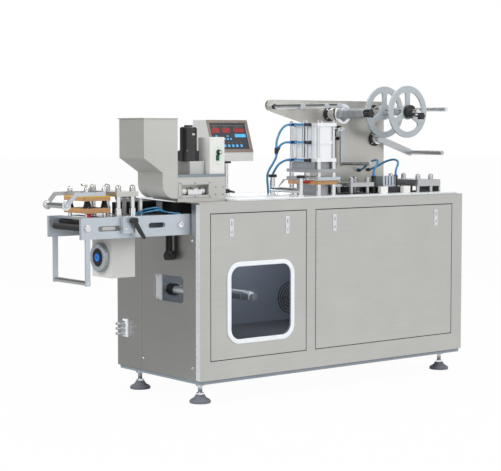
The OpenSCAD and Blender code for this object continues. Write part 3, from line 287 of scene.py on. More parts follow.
BLACK = finish("black_plastic", "#17181b", 0, 0.38, (500, 500, 500), tone=0.12, bump=0.04, dust=0.08)
COLLAR = finish("blue_collar", "#2a7fe0", 0, 0.35, (200, 200, 200), tone=0.05)
CYLINDER_X, FITTING_END = 559, 533
FITTING_Z = (700, 761, 822)
FRONT_Y, REAR_Y = 111.5, 188.5
ELBOW_X = CYLINDER_X - 14
ELBOW_REACH, COLLAR_REACH = 13, 18
NUT_R, BODY_R, COLLAR_R = 6.5, 5.3, 4.7
TEE_R, TEE_COLLAR_R = 7, 5.4
bodies, collars, bridges = bmesh.new(), bmesh.new(), bmesh.new()
for z in FITTING_Z:
    for y, way in ((FRONT_Y, 1), (REAR_Y, -1)):
        rod(bodies, (CYLINDER_X + 2, y, z), (CYLINDER_X - 6, y, z), NUT_R, sides=6)
        rod(bodies, (CYLINDER_X - 5, y, z), (FITTING_END, y, z), BODY_R, width=1)
        rod(bodies, (ELBOW_X, y, z), (ELBOW_X, y + ELBOW_REACH * way, z), BODY_R - 0.3)
        collar_start = y + (ELBOW_REACH - 1) * way
        rod(collars, (ELBOW_X, collar_start, z), (ELBOW_X, y + COLLAR_REACH * way, z), COLLAR_R)
    rod(collars, (FITTING_END + 1, REAR_Y, z), (FITTING_END - 4, REAR_Y, z), COLLAR_R)
    rod(bridges, (ELBOW_X, FRONT_Y + COLLAR_REACH - 1, z), (ELBOW_X, REAR_Y - COLLAR_REACH + 1, z), HOSE_R)
rod(bodies, TEE, (TEE.x, TEE.y, TEE_TOP), TEE_R, width=1)
rod(bodies, BRANCH_FOOT, BRANCH_END, 5.6, width=1)
rod(collars, (TEE.x, TEE.y, TEE_TOP - 1), (TEE.x, TEE.y, TEE_TOP + 4), TEE_COLLAR_R)
rod(collars, (TEE.x, TEE.y, TEE.z + 1), (TEE.x, TEE.y, TEE.z - 4), TEE_COLLAR_R)
rod(collars, BRANCH_END - BRANCH_WAY, BRANCH_END + 3.5 * BRANCH_WAY, 5)
piece("fitting_bodies", bodies, BLACK, replaces=["cylinder_fittings"])
piece("fitting_collars", collars, COLLAR)
piece("fitting_bridges", bridges, HOSE)

# Feet and base plate
# Ribbed grey rubber pads on threaded plated rods with lock nuts, under a painted steel base plate.


def softened(node, material, width=0.8):
    """A copy of a CAD node with its flat faces joined and its sharp edges broken."""
    source = frame["nodes"][node]
    bm = bmesh.new()
    bm.from_mesh(source.data)
    bmesh.ops.remove_doubles(bm, verts=bm.verts, dist=1e-5)
    bmesh.ops.dissolve_limit(bm, angle_limit=math.radians(0.5), verts=bm.verts, edges=bm.edges)
    sharp = [e for e in bm.edges if len(e.link_faces) == 2 and e.calc_face_angle(0) > math.radians(40)]
    if width:
        break_edges(bm, sharp, width)
        bmesh.ops.remove_doubles(bm, verts=bm.verts, dist=1e-6)
    return piece(node + "_look", bm, material, source["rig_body"], [node])


def turned(bm, outline, origin, axis, steps=32):
    """Adds a body of revolution: outline is (radius, height) in millimetres from origin along axis."""
    turn = Vector(axis).to_track_quat("Z", "Y").to_matrix().to_4x4()
    place = Matrix.Translation(at(*origin)) @ turn
    points = [bm.verts.new(place @ Vector((r * MM, 0, h * MM))) for r, h in outline]
    edges = [bm.edges.new(pair) for pair in zip(points, points[1:])]
    bmesh.ops.spin(bm, geom=points + edges, cent=at(*origin), axis=Vector(axis).normalized(), dvec=(0, 0, 0),
                   angle=math.tau, steps=steps, use_merge=True)
    bmesh.ops.remove_doubles(bm, verts=bm.verts, dist=1e-6)
    bmesh.ops.recalc_face_normals(bm, faces=bm.faces)


FOOT = finish("grey_rubber", "#6d727b", 0, 0.55, (350, 350, 350), tone=0.1, bump=0.1, dust=0.3)
BRIGHT = finish("bright_plating", "#dfe1e3", 1, 0.14, (60, 60, 60), tone=0.03, spread=0.06, bump=0.01)
SLATE = finish("lining_paint", "#757b86", 0, 0.45, (420, 420, 420), tone=0.06, bump=0.05, dust=0.2)
FOOT_X, FOOT_Y = (48, 1152), (65, 409)
FLOOR_Z, PAD_H = -80, 26
PAD_OUTLINE = [(0, 0), (34, 0), (35, 1), (35, 7), (33.5, 8), (33, 9.5), (29, 12.5), (27.5, 12), (25, 14.5),
               (23.5, 14), (18, 21), (16, 22.5), (16, 25.5), (15.5, PAD_H), (0, PAD_H)]
THREAD_R, THREAD_PITCH, THREAD_H = 8, 3, 42
UP = (0, 0, 1)
# Nuts and washer on each rod: lower and upper end, radius, number of sides and broken edge.
ROD_NUTS = ((-23, -12, 15, 6, 1), (-25, -23, 14, 32, 0.5), (-54, -46, 13, 6, 1))
thread = [(0, 0)]
for turn in range(THREAD_H // THREAD_PITCH):
    thread += [(THREAD_R - 1, turn * THREAD_PITCH), (THREAD_R, (turn + 0.5) * THREAD_PITCH)]
thread += [(THREAD_R - 1, THREAD_H), (0, THREAD_H)]
pads, rods = bmesh.new(), bmesh.new()
for x in FOOT_X:
    for y in FOOT_Y:
        turned(pads, PAD_OUTLINE, (x, y, FLOOR_Z), UP, 40)
        turned(rods, thread, (x, y, FLOOR_Z + PAD_H), UP, 24)
        for low, high, radius, sides, width in ROD_NUTS:
            rod(rods, (x, y, low), (x, y, high), radius, sides=sides, width=width)
piece("foot_pad_look", pads, FOOT, replaces=["foot_pads"])
piece("foot_rod_look", rods, BRIGHT, replaces=["foot_rods"])
BASE = finish("base_paint", "#8e98a3", 0, 0.45, (420, 420, 420), tone=0.06, bump=0.05, dust=0.2)
softened("base_plate", BASE, 1.5)

# Cabinet shell
# Folded brushed stainless sheet: a front frame with two lift-off panels, end panels, rear wall and top.
# The front frame returns round the left corner as a narrow strip, held by a row of welds.


def box(bm, low, high, width=0.5):
    """Adds a box between two corners, with broken edges."""
    low, high = at(*low), at(*high)
    place = Matrix.Translation((low + high) / 2) @ Matrix.Diagonal((*(high - low), 1))
    made = bmesh.ops.create_cube(bm, size=1, matrix=place)["verts"]
    if width:
        break_edges(bm, {e for v in made for e in v.link_edges}, width)


STAINLESS = finish("brushed_stainless", "#bebebb", 1, 0.36, (5, 5, 900), tone=0.1, spread=0.06, bump=0.016)
STRIP = finish("light_strip", "#d6dadd", 0.3, 0.4, (5, 5, 500), tone=0.05, bump=0.012)
CABINET_D = 474
for node in ("front_frame", "left_panel", "right_panel", "rear_wall", "left_end_panel", "service_panel",
             "right_end_panel", "cabinet_top"):
    softened(node, STAINLESS, 0.9)
OPENINGS = ((42, 447), (487, 1147))
OPENING_LOW, OPENING_HIGH = 61, 537
SEAM_OUT, SEAM_IN = -0.25, 0.4
LOW_SEAM, TOP_SEAM, RIGHT_SEAM = 1.4, 2.4, 1.8
# Black strips round the edges of both openings: painted shade in the gaps round the lift-off panels; the top
# strip is the widest.
gap_shade = bmesh.new()
for left, right in OPENINGS:
    box(gap_shade, (left, SEAM_OUT, OPENING_HIGH - TOP_SEAM), (right, SEAM_IN, OPENING_HIGH), 0)
    box(gap_shade, (left, SEAM_OUT, OPENING_LOW), (right, SEAM_IN, OPENING_LOW + LOW_SEAM), 0)
    box(gap_shade, (left, SEAM_OUT, OPENING_LOW), (left + LOW_SEAM, SEAM_IN, OPENING_HIGH), 0)
    box(gap_shade, (right - RIGHT_SEAM, SEAM_OUT, OPENING_LOW), (right, SEAM_IN, OPENING_HIGH), 0)
piece("panel_gap_shade", gap_shade, BLACK)
SHEET_TOP, STRIP_W, STRIP_LOW = 566, 19, 2
strip = bmesh.new()
box(strip, (-1, 0.5, STRIP_LOW), (0.2, STRIP_W, SHEET_TOP), 0.4)
piece("corner_strip", strip, STRIP)
WELD_L, WELD_STEP, WELD_R, WELD_SWELL = 468, 6, 1.5, 0.6
weld = bmesh.new()
bead = [(0, 0)]
for step in range(1, WELD_L // WELD_STEP):
    bead.append((WELD_R + WELD_SWELL * math.sin(step * 1.9), step * WELD_STEP))
turned(weld, bead + [(0, WELD_L - 2)], (-0.6, STRIP_W, STRIP_LOW), UP, 8)
piece("corner_weld", weld, BRIGHT, crease=80)

# Panel locks
# Quarter-turn locks: a plated cover plate with a key slot and the round end of its cam.
LOCK_X = (127, 362, 572, 1062)
LOCK_Z = 489
softened("panel_locks", STRIP, 0.6)
turns, key_slot_shade = bmesh.new(), bmesh.new()
for x in LOCK_X:
    rod(turns, (x, -2, LOCK_Z - 14), (x, -3, LOCK_Z - 14), 5.5, width=0.4)
    # The key slots are thin black blocks on the cover: painted shade in place of holes.
    box(key_slot_shade, (x - 1.1, -3.2, LOCK_Z - 18), (x + 1.1, -2.6, LOCK_Z - 10), 0)
    box(key_slot_shade, (x - 1.1, -2.3, LOCK_Z + 6), (x + 1.1, -1.6, LOCK_Z + 20), 0)
piece("lock_turns", turns, BRIGHT)
piece("lock_slot_shade", key_slot_shade, BLACK)

# Window
# A clear pane held in a white rubber profile that grips the edge of the left panel.
GASKET = finish("white_rubber", "#f0f4f8", 0, 0.5, (300, 300, 300), tone=0.03, bump=0.04)
softened("window_seal", GASKET, 1.6)
PANE = bpy.data.materials.new("clear_pane")
PANE.use_nodes = True
pane_nodes, pane_links = PANE.node_tree.nodes, PANE.node_tree.links
pane_shader = pane_nodes["Principled BSDF"]
pane_shader.inputs["Transmission Weight"].default_value = 1
pane_shader.inputs["IOR"].default_value = 1.12
pane_detail = pane_nodes.new("ShaderNodeGroup")
pane_detail.node_tree = SURFACE
pane_detail.inputs["Stretch"].default_value = (30, 30, 30)
pane_tint = pane_nodes.new("ShaderNodeMix")
pane_tint.data_type = "RGBA"
pane_tint.inputs[COLOUR_A].default_value = linear("#d5dde6")
pane_tint.inputs[COLOUR_B].default_value = linear("#e4e9ee")
pane_links.new(pane_detail.outputs["Smudge"], pane_tint.inputs["Factor"])
pane_links.new(pane_tint.outputs[MIXED], pane_shader.inputs["Base Color"])
pane_haze = span(PANE.node_tree, pane_detail.outputs["Smudge"], 0.01, 0.06)
pane_links.new(pane_haze, pane_shader.inputs["Roughness"])
softened("window_pane", PANE, 0)

# Cabinet inside
# Painted lining sheets, the waste film spindle with its hexagon, the exit roller and a ring grille.
# Only what shows through the window and the film exit is here.
BACK_Y = CABINET_D - 3
LINING_T, LINING_LOW = 1.5, 97
lining = bmesh.new()
box(lining, (4, BACK_Y - LINING_T, LINING_LOW), (1196, BACK_Y - 0.2, SHEET_TOP), 0)
box(lining, (3.2, 258, LINING_LOW), (3.2 + LINING_T, 470, SHEET_TOP), 0)
piece("inside_lining", lining, SLATE)
DEEP = finish("dark_floor_paint", "#3b3d45", 0, 0.5, (300, 300, 300), tone=0.1, dust=0.1)
softened("inner_floor", DEEP, 0.5)
softened("fan_grille", DEEP, 0.5)
# A black sheet inside the cabinet behind the notch at the top of the left end: painted shade where its inside
# shows.
notch_shade_box = bmesh.new()
box(notch_shade_box, (40, 40, 472), (42, 262, SHEET_TOP), 0)
piece("notch_shade_sheet", notch_shade_box, BLACK)
SPINDLE_X, SPINDLE_Z = 343, 238
EXIT_X, EXIT_Z = 46, 278
# Each step of the spindle: from and to along y, radius, number of sides and broken edge.
SPINDLE_STEPS = ((150, 190, 12, 32, 1), (166, 182, 19, 6, 1), (182, BACK_Y, 17, 32, 1.5),
                 (206, 212, 18.5, 32, 1))
spindle = bmesh.new()
for near, far, radius, sides, width in SPINDLE_STEPS:
    rod(spindle, (SPINDLE_X, near, SPINDLE_Z), (SPINDLE_X, far, SPINDLE_Z), radius, sides=sides, width=width)
rod(spindle, (EXIT_X, 6, EXIT_Z), (EXIT_X, BACK_Y, EXIT_Z), 13, width=0.8)
SPINDLE_STEEL = finish("spindle_steel", "#eceff1", 0.6, 0.25, (9, 400, 9), tone=0.06, bump=0.012)
piece("film_spindle_look", spindle, SPINDLE_STEEL, replaces=["film_spindle"])
bearing = bmesh.new()
rod(bearing, (EXIT_X, 196, EXIT_Z), (EXIT_X, 224, EXIT_Z), 20, width=1.5)
piece("exit_bearing", bearing, BLACK)
exit_strip = bmesh.new()
box(exit_strip, (3, 216, 238), (7, 250, 336), 0.8)
piece("exit_strip", exit_strip, STRIP)


def cap_screw(bm, place, axis, radius, height):
    """Adds a socket head screw standing on a face."""
    socket, floor_h = 0.5 * radius, 0.4 * height
    outline = [(0, floor_h), (socket, floor_h), (socket, height), (0.85 * radius, height),
               (radius, 0.8 * height), (radius, 0), (0, 0)]
    turned(bm, outline, place, axis, 16)


LEFT, FRONT = (-1, 0, 0), (0, -1, 0)
end_screws = bmesh.new()
for y, z in ((40, 450), (318, 452), (318, 40), (40, 40)):
    cap_screw(end_screws, (0, y, z), LEFT, 4, 3)
for z in (250, 322):
    cap_screw(end_screws, (3, 234, z), LEFT, 4, 3)
piece("end_screws", end_screws, BRIGHT)

# Hose connectors
# Three plated hose tails with hexagons, on a small manifold at the service panel.
TAIL_Y, TAIL_Z = 420, (115, 132, 149)
TAIL_R, TAIL_L, BARB = 5, 20, 0.7
connectors = bmesh.new()
box(connectors, (-6, 406, 102), (0, 434, 162), 1)
manifold = bmesh.new()
box(manifold, (-6.4, 405.6, 101.6), (-0.2, 434.4, 162.4), 1)
piece("manifold_cover", manifold, GASKET)
tail = [(0, 0), (4.4, 0)]
for low in (1, 5, 9):
    tail += [(TAIL_R, low), (TAIL_R - BARB, low + 3)]
tail += [(TAIL_R, 13), (TAIL_R, TAIL_L), (0, TAIL_L)]
for z in TAIL_Z:
    rod(connectors, (-22, TAIL_Y, z), (-6, TAIL_Y, z), 8, sides=6, width=0.7)
    turned(connectors, tail, (-42, TAIL_Y, z), (1, 0, 0), 20)
piece("hose_connectors_look", connectors, BRIGHT, replaces=["hose_connectors"])

# Side rails and rollers
# Two milled aluminium rails reach out of the cabinet and carry the heating and forming stations.
# Straps under them hold the lower guide roller, bent arms over the boards hold the upper one.


def repaint(made, material, test):
    """Gives the faces whose middle, in working millimetres, passes a test another material."""
    made.data.materials.append(material)
    index = len(made.data.materials) - 1
    for face in made.data.polygons:
        if test(*(face.center / MM + ORIGIN)):
            face.material_index = index


ALUMINIUM = finish("anodised_aluminium", "#bcc4cc", 0.65, 0.34, (8, 600, 8), tone=0.05, spread=0.06,
                   bump=0.012)
RUBBER = finish("black_rubber", "#202124", 0, 0.62, (350, 350, 350), tone=0.15, bump=0.08, dust=0.15)
softened("side_rails", ALUMINIUM, 0.8)
end_roller = softened("end_roller", RUBBER, 0.8)
softened("guide_arms", ALUMINIUM, 0.8)
softened("upper_guide_roller", BRIGHT, 0.6)
softened("lower_guide_roller", BRIGHT, 0.6)
RAIL_FRONT, RAIL_REAR, RAIL_Z = 50, 250, 504
ROLLER_X, RAIL_END_X = -387, -40
repaint(end_roller, BRIGHT, lambda x, y, z: y < RAIL_FRONT + 0.5 or y > RAIL_REAR - 0.5)
rail_screws = bmesh.new()
for y, way in ((RAIL_FRONT, -1), (RAIL_REAR, 1)):
    cap_screw(rail_screws, (RAIL_END_X, y, RAIL_Z), (0, way, 0), 11, 7)
    cap_screw(rail_screws, (ROLLER_X, y, RAIL_Z), (0, way, 0), 8, 5)
piece("rail_screws", rail_screws, BRIGHT)
slide = bmesh.new()
box(slide, (-328, 58, 496), (-280, 61.5, 507), 0.5)
piece("rail_slide", slide, STAINLESS)

# Clamp on the front rail
# An aluminium block that slides on the rail, locked by a moulded black lever.
softened("clamp_block", ALUMINIUM, 1)
softened("clamp_lever", BLACK, 1.5)
clamp_screw = bmesh.new()
cap_screw(clamp_screw, (-256, 34, 500), FRONT, 5, 3)
piece("clamp_screw", clamp_screw, BRIGHT)

# Heating station
# Two laminate boards on sprung studs, with acorn nuts, terminal wires and a bent lifting handle.


def acorn(bm, x, y, z, radius=9.4, height=12):
    """Adds an acorn nut standing on a plate: a hexagon with a domed cap."""
    rod(bm, (x, y, z), (x, y, z + 0.6 * height), radius, sides=6, width=0.8)
    dome = [(0.92 * radius * math.cos(a), height * 0.75 + 0.95 * radius * math.sin(a))
            for a in [math.radians(15 * k) for k in range(7)]]
    turned(bm, [(0, 0.55 * height), (0.92 * radius, 0.55 * height)] + dome, (x, y, z), UP, 24)


BOARD = finish("insulating_board", "#b58a5c", 0, 0.5, (40, 40, 1600), tone=0.2, spread=0.1, bump=0.05)
YELLOW = finish("yellow_edge", "#d8b21c", 0, 0.5, (200, 200, 200))
RED = finish("red_wire", "#c01a18", 0, 0.4, (200, 200, 200))
BOARD_X, BOARD_L, BOARD_W, LINE_Y = -370, 92, 124, 150
BOARD_LOW, BOARD_T, BOARD_TOP = 547, 15, 600
softened("heating_boards", BOARD, 0.7)
softened("heating_fittings", BRIGHT, 0.5)
edge_line = bmesh.new()
box(edge_line, (BOARD_X - 0.3, LINE_Y - BOARD_W / 2 - 0.3, BOARD_TOP - 3),
    (BOARD_X + BOARD_L + 0.3, LINE_Y + BOARD_W / 2 + 0.3, BOARD_TOP - 0.5), 0)
piece("board_edge_line", edge_line, YELLOW)
STUD_INSET, STUD_Y = 14, (102, 198)
SPRING_TURNS, SPRING_PITCH, SPRING_R, SPRING_TAPER, SPRING_WIRE = 5, 4.4, 12.5, 1.1, 1.6
springs, board_nuts = bmesh.new(), bmesh.new()
for x in (BOARD_X + STUD_INSET, BOARD_X + BOARD_L - STUD_INSET):
    for y in STUD_Y:
        coil = [(0, 0.6)]
        for turn in range(SPRING_TURNS):
            radius = SPRING_R - SPRING_TAPER * turn
            inner = radius - SPRING_WIRE
            low = turn * SPRING_PITCH + 0.6
            coil += [(inner, low), (radius, low + SPRING_WIRE), (inner, low + 2 * SPRING_WIRE)]
        coil.append((0, coil[-1][1]))
        turned(springs, coil, (x, y, BOARD_LOW + BOARD_T + 0.4), UP, 20)
        acorn(board_nuts, x, y, BOARD_TOP + 12, 8, 13)
piece("board_springs", springs, BLACK)
piece("board_nuts", board_nuts, BRIGHT)
HANDLE_X, HANDLE_R = -324, 4
handle = bmesh.new()
rod(handle, (HANDLE_X, LINE_Y, BOARD_TOP), (HANDLE_X, LINE_Y, 628), HANDLE_R, width=0.4)
rod(handle, (HANDLE_X, LINE_Y, 627), (HANDLE_X - 5, LINE_Y, 633), HANDLE_R, width=0.4)
rod(handle, (HANDLE_X - 4, LINE_Y, 632), (HANDLE_X - 20, LINE_Y, 634), HANDLE_R, width=0.8)
rod(handle, (HANDLE_X, LINE_Y, BOARD_TOP), (HANDLE_X, LINE_Y, BOARD_TOP + 5), 10, sides=6)
piece("board_handle", handle, BRIGHT)
wires = bmesh.new()
for step in range(3):
    rod(wires, (-362 + 6 * step, 90 + 3 * step, 547.5), (-358 + 6 * step, 92 + 3 * step, 537), 2.5, sides=12)
piece("board_wires", wires, RED)
pan = bmesh.new()
box(pan, (-372, 62, 512), (-274, 238, 524), 0.5)
piece("heating_pan", pan, BLACK)

# Forming station, drive and film track
# Four polished posts with collars carry the forming plate; the painted drive box hangs below it.
# A dark tray with small air lines runs under the sloping film track to the feeder.
STEEL = finish("ground_steel", "#c6c6c3", 1, 0.26, (700, 9, 9), tone=0.07, spread=0.08, bump=0.012)
PAINT = finish("light_grey_paint", "#c9cac7", 0, 0.42, (420, 420, 420), tone=0.03, bump=0.05, coat=0.1,
               dust=0.1)
TABLE = finish("bright_table", "#e6e9eb", 0.2, 0.3, (6, 500, 6), tone=0.03, spread=0.05, bump=0.012)
CAST = finish("bare_casting", "#a3a6a8", 0.8, 0.45, (260, 260, 260), tone=0.16, spread=0.12, bump=0.2)
softened("forming_station", STEEL, 0.7)
softened("drive_box", PAINT, 1.2)
softened("drive_flange", CAST, 0.8)
softened("film_track", TABLE, 0.6)
FLANGE_X, DRIVE_Z = -286, 405
FLANGE = (FLANGE_X, LINE_Y, DRIVE_Z)
RING_OUTLINE = [(29, 0), (29, 1.4), (30, 2), (42, 2), (43, 1), (43, 0), (29, 0)]
# The recess round the hub is a black disc just proud of the flange face: painted shade, not a real hollow.
RECESS_SHADE_OUTLINE = [(14, 0), (14, 0.4), (27.5, 0.4), (28.5, 0), (14, 0)]
HUB_OUTLINE = [(0, 1), (6, 1), (6, 0), (11, 0), (12.4, 1), (12.4, 5), (0, 5)]
FLANGE_SCREWS, SCREW_CIRCLE = 6, 36
flange_ring, flange_recess_shade = bmesh.new(), bmesh.new()
turned(flange_ring, RING_OUTLINE, FLANGE, LEFT, 48)
turned(flange_recess_shade, RECESS_SHADE_OUTLINE, FLANGE, LEFT, 48)
piece("flange_ring", flange_ring, ALUMINIUM)
piece("flange_recess_shade", flange_recess_shade, BLACK)
hub = bmesh.new()
turned(hub, HUB_OUTLINE, (FLANGE_X - 5, LINE_Y, DRIVE_Z), (1, 0, 0), 32)
piece("drive_hub", hub, COLLAR)
flange_screws = bmesh.new()
for k in range(FLANGE_SCREWS):
    turn = math.tau * (k + 0.5) / FLANGE_SCREWS
    y, z = LINE_Y + SCREW_CIRCLE * math.sin(turn), DRIVE_Z + SCREW_CIRCLE * math.cos(turn)
    cap_screw(flange_screws, (FLANGE_X - 2, y, z), LEFT, 3, 3)
piece("flange_screws", flange_screws, BRIGHT)
FORMING_X, FORMING_Y = (-256, -203), (78, 222)
BUSH_LOW, BUSH_HIGH, NUT_LOW, PLATE_LOW, PLATE_TOP = 536, 560, 588, 597, 612
posts, forming_nuts = bmesh.new(), bmesh.new()
for x in FORMING_X:
    for y in FORMING_Y:
        rod(posts, (x, y, BUSH_LOW), (x, y, BUSH_HIGH), 10.4, width=1)
        rod(posts, (x, y, BUSH_HIGH), (x, y, PLATE_LOW), 7.4)
        rod(posts, (x, y, NUT_LOW), (x, y, PLATE_LOW), 10, sides=6)
        acorn(forming_nuts, x, y, PLATE_TOP)
piece("forming_posts", posts, BRIGHT)
piece("forming_nuts", forming_nuts, BRIGHT)
tray = bmesh.new()
box(tray, (-180, 62.5, 532), (-4, 237.5, 534), 0.4)
box(tray, (-176, 234, 533), (-4, 236, 572), 0.4)
piece("track_tray", tray, BLACK)
AIR_LINE_R = 2.6
air_lines = bmesh.new()
for y, lift in ((70, 6), (80, 14), (96, 10)):
    points = [(-180, y + 20, 537), (-150, y + 6, 540 + lift), (-110, y, 545 + lift), (-66, y + 10, 541),
              (-24, y, 536)]
    for start, end in zip(points, points[1:]):
        rod(air_lines, start, end, AIR_LINE_R, sides=12, width=0)
piece("tray_air_lines", air_lines, HOSE)

# Corrugated conduit
# A black plastic conduit from the tray down to an elbow gland in the end panel.
CONDUIT_X, CONDUIT_Y, CONDUIT_LOW = -16, 145, 400
FOLD, FOLDS, RIB_R, GROOVE_R = 6.2, 20, 12, 9.8
GLAND_Z, GLAND_R = 396, 14
conduit = bmesh.new()
ribs = [(0, 0)]
for step in range(FOLDS):
    low = step * FOLD
    ribs += [(GROOVE_R, low), (RIB_R, low + 1.6), (RIB_R, low + 4.2), (GROOVE_R, low + 5.8)]
turned(conduit, ribs + [(0, FOLDS * FOLD)], (CONDUIT_X, CONDUIT_Y, CONDUIT_LOW), UP, 24)
rod(conduit, (CONDUIT_X, CONDUIT_Y, GLAND_Z), (CONDUIT_X, CONDUIT_Y, 412), GLAND_R, sides=6, width=1)
rod(conduit, (-30, CONDUIT_Y, GLAND_Z), (0, CONDUIT_Y, GLAND_Z), GLAND_R, width=2)
piece("conduit_look", conduit, BLACK, replaces=["conduit"], crease=50)

# Tablet feeder
# Satin sheet hopper with a curved chute, a box housing with a bolted sight plate, and on its lid
# a geared motor and the speed box with its knob and rocker switch.
SATIN = finish("satin_sheet", "#bfbfbb", 0.6, 0.33, (9, 9, 700), tone=0.06, spread=0.08, bump=0.014)
LID_STEEL = finish("lid_steel", "#8d979f", 1, 0.3, (9, 500, 9), tone=0.06, bump=0.012)
GLOSS = finish("gloss_black", "#131418", 0, 0.16, (300, 300, 300), tone=0.08, bump=0.02, coat=0.5)
WHITE = finish("white_plastic", "#e9e8e4", 0, 0.4, (300, 300, 300), tone=0.03, bump=0.03)
SPEED_PAINT = finish("white_grey_paint", "#e4e4e1", 0, 0.42, (420, 420, 420), tone=0.03, bump=0.05, coat=0.1)
PLATE_GREEN = finish("pale_green_plate", "#dfe9df", 0, 0.35, (200, 200, 200), tone=0.02)
GREEN = finish("green_rocker", "#0f6b4c", 0, 0.3, (200, 200, 200))
LID_LOW, LID_TOP = 651, 660.3
HOUSING_FRONT, SIGHT_FRONT, SPEED_FRONT = 80, 77, 85
PLATE_FRONT = SPEED_FRONT - 1
softened("hopper", SATIN, 0.7)
softened("feeder_housing", SATIN, 0.8)
lid = bmesh.new()
box(lid, (-27.4, HOUSING_FRONT - 0.4, LID_LOW), (166.4, 220.4, LID_TOP), 0.8)
piece("feeder_lid", lid, LID_STEEL)
softened("feeder_gearbox", PAINT, 1.2)
softened("speed_box", SPEED_PAINT, 1.2)
softened("feeder_motor", GLOSS, 1)
screws = bmesh.new()
for x in (-19, 39, 97):
    for z in (590, 633):
        cap_screw(screws, (x, SIGHT_FRONT, z), FRONT, 2.8, 1.6)
for x in (124, 154):
    for z in (594, 618):
        cap_screw(screws, (x, HOUSING_FRONT, z), FRONT, 2.8, 1.6)
piece("feeder_screws", screws, CAST)
SHAFT_Y, SHAFT_Z = 98, 606
brushes, bristles = bmesh.new(), bmesh.new()
for x, radius in ((4, 11), (30, 8), (52, 12), (80, 9)):
    rod(bristles, (x - 9, SHAFT_Y, SHAFT_Z), (x + 9, SHAFT_Y, SHAFT_Z), radius, width=2)
rod(brushes, (-13, SHAFT_Y, SHAFT_Z), (93, SHAFT_Y, SHAFT_Z), 4)
box(brushes, (16, 83, 595), (70, 86, 611), 0.8)
piece("sight_shaft", brushes, BRIGHT)
piece("sight_brushes", bristles, WHITE)
plate = bmesh.new()
box(plate, (117, PLATE_FRONT, 692), (156, SPEED_FRONT, 752), 0.3)
piece("speed_plate", plate, PLATE_GREEN)
KNOB_X, KNOB_Z = 139, 731
KNOB_OUTLINE = [(0, 11), (6, 11), (7, 10), (7.6, 3), (9, 2), (9, 0), (0, 0)]
knob = bmesh.new()
turned(knob, KNOB_OUTLINE, (KNOB_X, PLATE_FRONT, KNOB_Z), FRONT, 28)
box(knob, (129, PLATE_FRONT - 3, 704), (141, PLATE_FRONT, 722), 0.6)
piece("speed_knob", knob, BLACK)
knob_cap = bmesh.new()
rod(knob_cap, (KNOB_X, PLATE_FRONT - 10.5, KNOB_Z), (KNOB_X, PLATE_FRONT - 12, KNOB_Z), 4.5)
for z in (748, 696):
    cap_screw(knob_cap, (136.5, PLATE_FRONT, z), FRONT, 2.2, 1.2)
piece("speed_knob_cap", knob_cap, BRIGHT)
rocker = bmesh.new()
box(rocker, (131.5, PLATE_FRONT - 5, 707), (138.5, PLATE_FRONT - 2, 719), 0.8)
piece("speed_rocker", rocker, GREEN)
MOTOR_X, MOTOR_Y, MOTOR_FOOT = 60, 142, 735
badge = bmesh.new()
box(badge, (MOTOR_X - 6, MOTOR_Y - 28.8, 786), (MOTOR_X + 6, MOTOR_Y - 26, 792), 0.5)
piece("motor_badge", badge, STEEL)
motor_screws = bmesh.new()
for x in (MOTOR_X - 20, MOTOR_X + 20):
    for y in (MOTOR_Y - 20, MOTOR_Y + 20):
        cap_screw(motor_screws, (x, y, MOTOR_FOOT), UP, 3, 3)
piece("motor_screws", motor_screws, CAST)

# Control panel
# A painted sheet box on a swivelling post, with a bronze bezel, a black membrane, three red displays
# and lit buttons. Face coordinates: u to the right and v up the sloping face.
FACE = (240, 250, 727)
FACE_W, FACE_RUN, FACE_RISE = 178, 39, 111
FACE_L = math.hypot(FACE_RUN, FACE_RISE)
FACE_TILT = math.atan2(FACE_RUN, FACE_RISE)


def on_face(bm, u0, v0, u1, v1, low, high, width=0.3):
    """Adds a block that lies on the sloping face, from low to high millimetres out of it."""
    place = Matrix.Translation(at(*FACE)) @ Matrix.Rotation(-FACE_TILT, 4, "X")
    middle = Vector(((u0 + u1) / 2, -(low + high) / 2, (v0 + v1) / 2)) * MM
    size = Matrix.Diagonal(((u1 - u0) * MM, (high - low) * MM, (v1 - v0) * MM, 1))
    made = bmesh.ops.create_cube(bm, size=1, matrix=place @ Matrix.Translation(middle) @ size)["verts"]
    if width:
        break_edges(bm, {e for v in made for e in v.link_edges}, width)


BRONZE = finish("bronze_bezel", "#7f726a", 0.5, 0.35, (300, 300, 300), tone=0.05)
MEMBRANE = finish("black_membrane", "#26272c", 0, 0.3, (400, 400, 400), tone=0.06, coat=0.1)
DISPLAY = finish("red_display", "#8f1f22", 0, 0.3, (900, 900, 900), tone=0.3)
LIT = finish("cyan_button", "#4cb4ec", 0, 0.35, (200, 200, 200), tone=0.05)
MUTED = finish("grey_mark", "#6c6d72", 0, 0.4, (200, 200, 200))
POST_X, POST_Y, SWIVEL_TOP = 342, 306, 697.2
panel = softened("control_panel", PAINT, 1.2)
repaint(panel, BLACK, lambda x, y, z: z < SWIVEL_TOP)
BEZEL_W, BEZEL_UP = 11, 2
bezel = bmesh.new()
on_face(bezel, 0.5, 0.5, FACE_W - 0.5, BEZEL_W, 0, BEZEL_UP, 0.6)
on_face(bezel, 0.5, FACE_L - BEZEL_W, FACE_W - 0.5, FACE_L - 0.5, 0, BEZEL_UP, 0.6)
for u in (0.5, FACE_W - BEZEL_W):
    on_face(bezel, u, BEZEL_W, u + BEZEL_W - 0.5, FACE_L - BEZEL_W, 0, BEZEL_UP, 0.6)
piece("panel_bezel", bezel, BRONZE, "control_panel")
membrane = bmesh.new()
on_face(membrane, BEZEL_W, BEZEL_W, FACE_W - BEZEL_W, FACE_L - BEZEL_W, -2, -1.2, 0)
piece("panel_membrane", membrane, MEMBRANE, "control_panel")
SUNK, DISPLAY_UP, BUTTON_UP, MARK_UP = -1.4, -0.6, -0.5, -1
DISPLAYS = ((17, 50, 71, 89), (63, 96, 71, 89), (112, 158, 74, 87))
BUTTON_ROW = (28, 45, 62, 79, 97, 114, 133)
displays = bmesh.new()
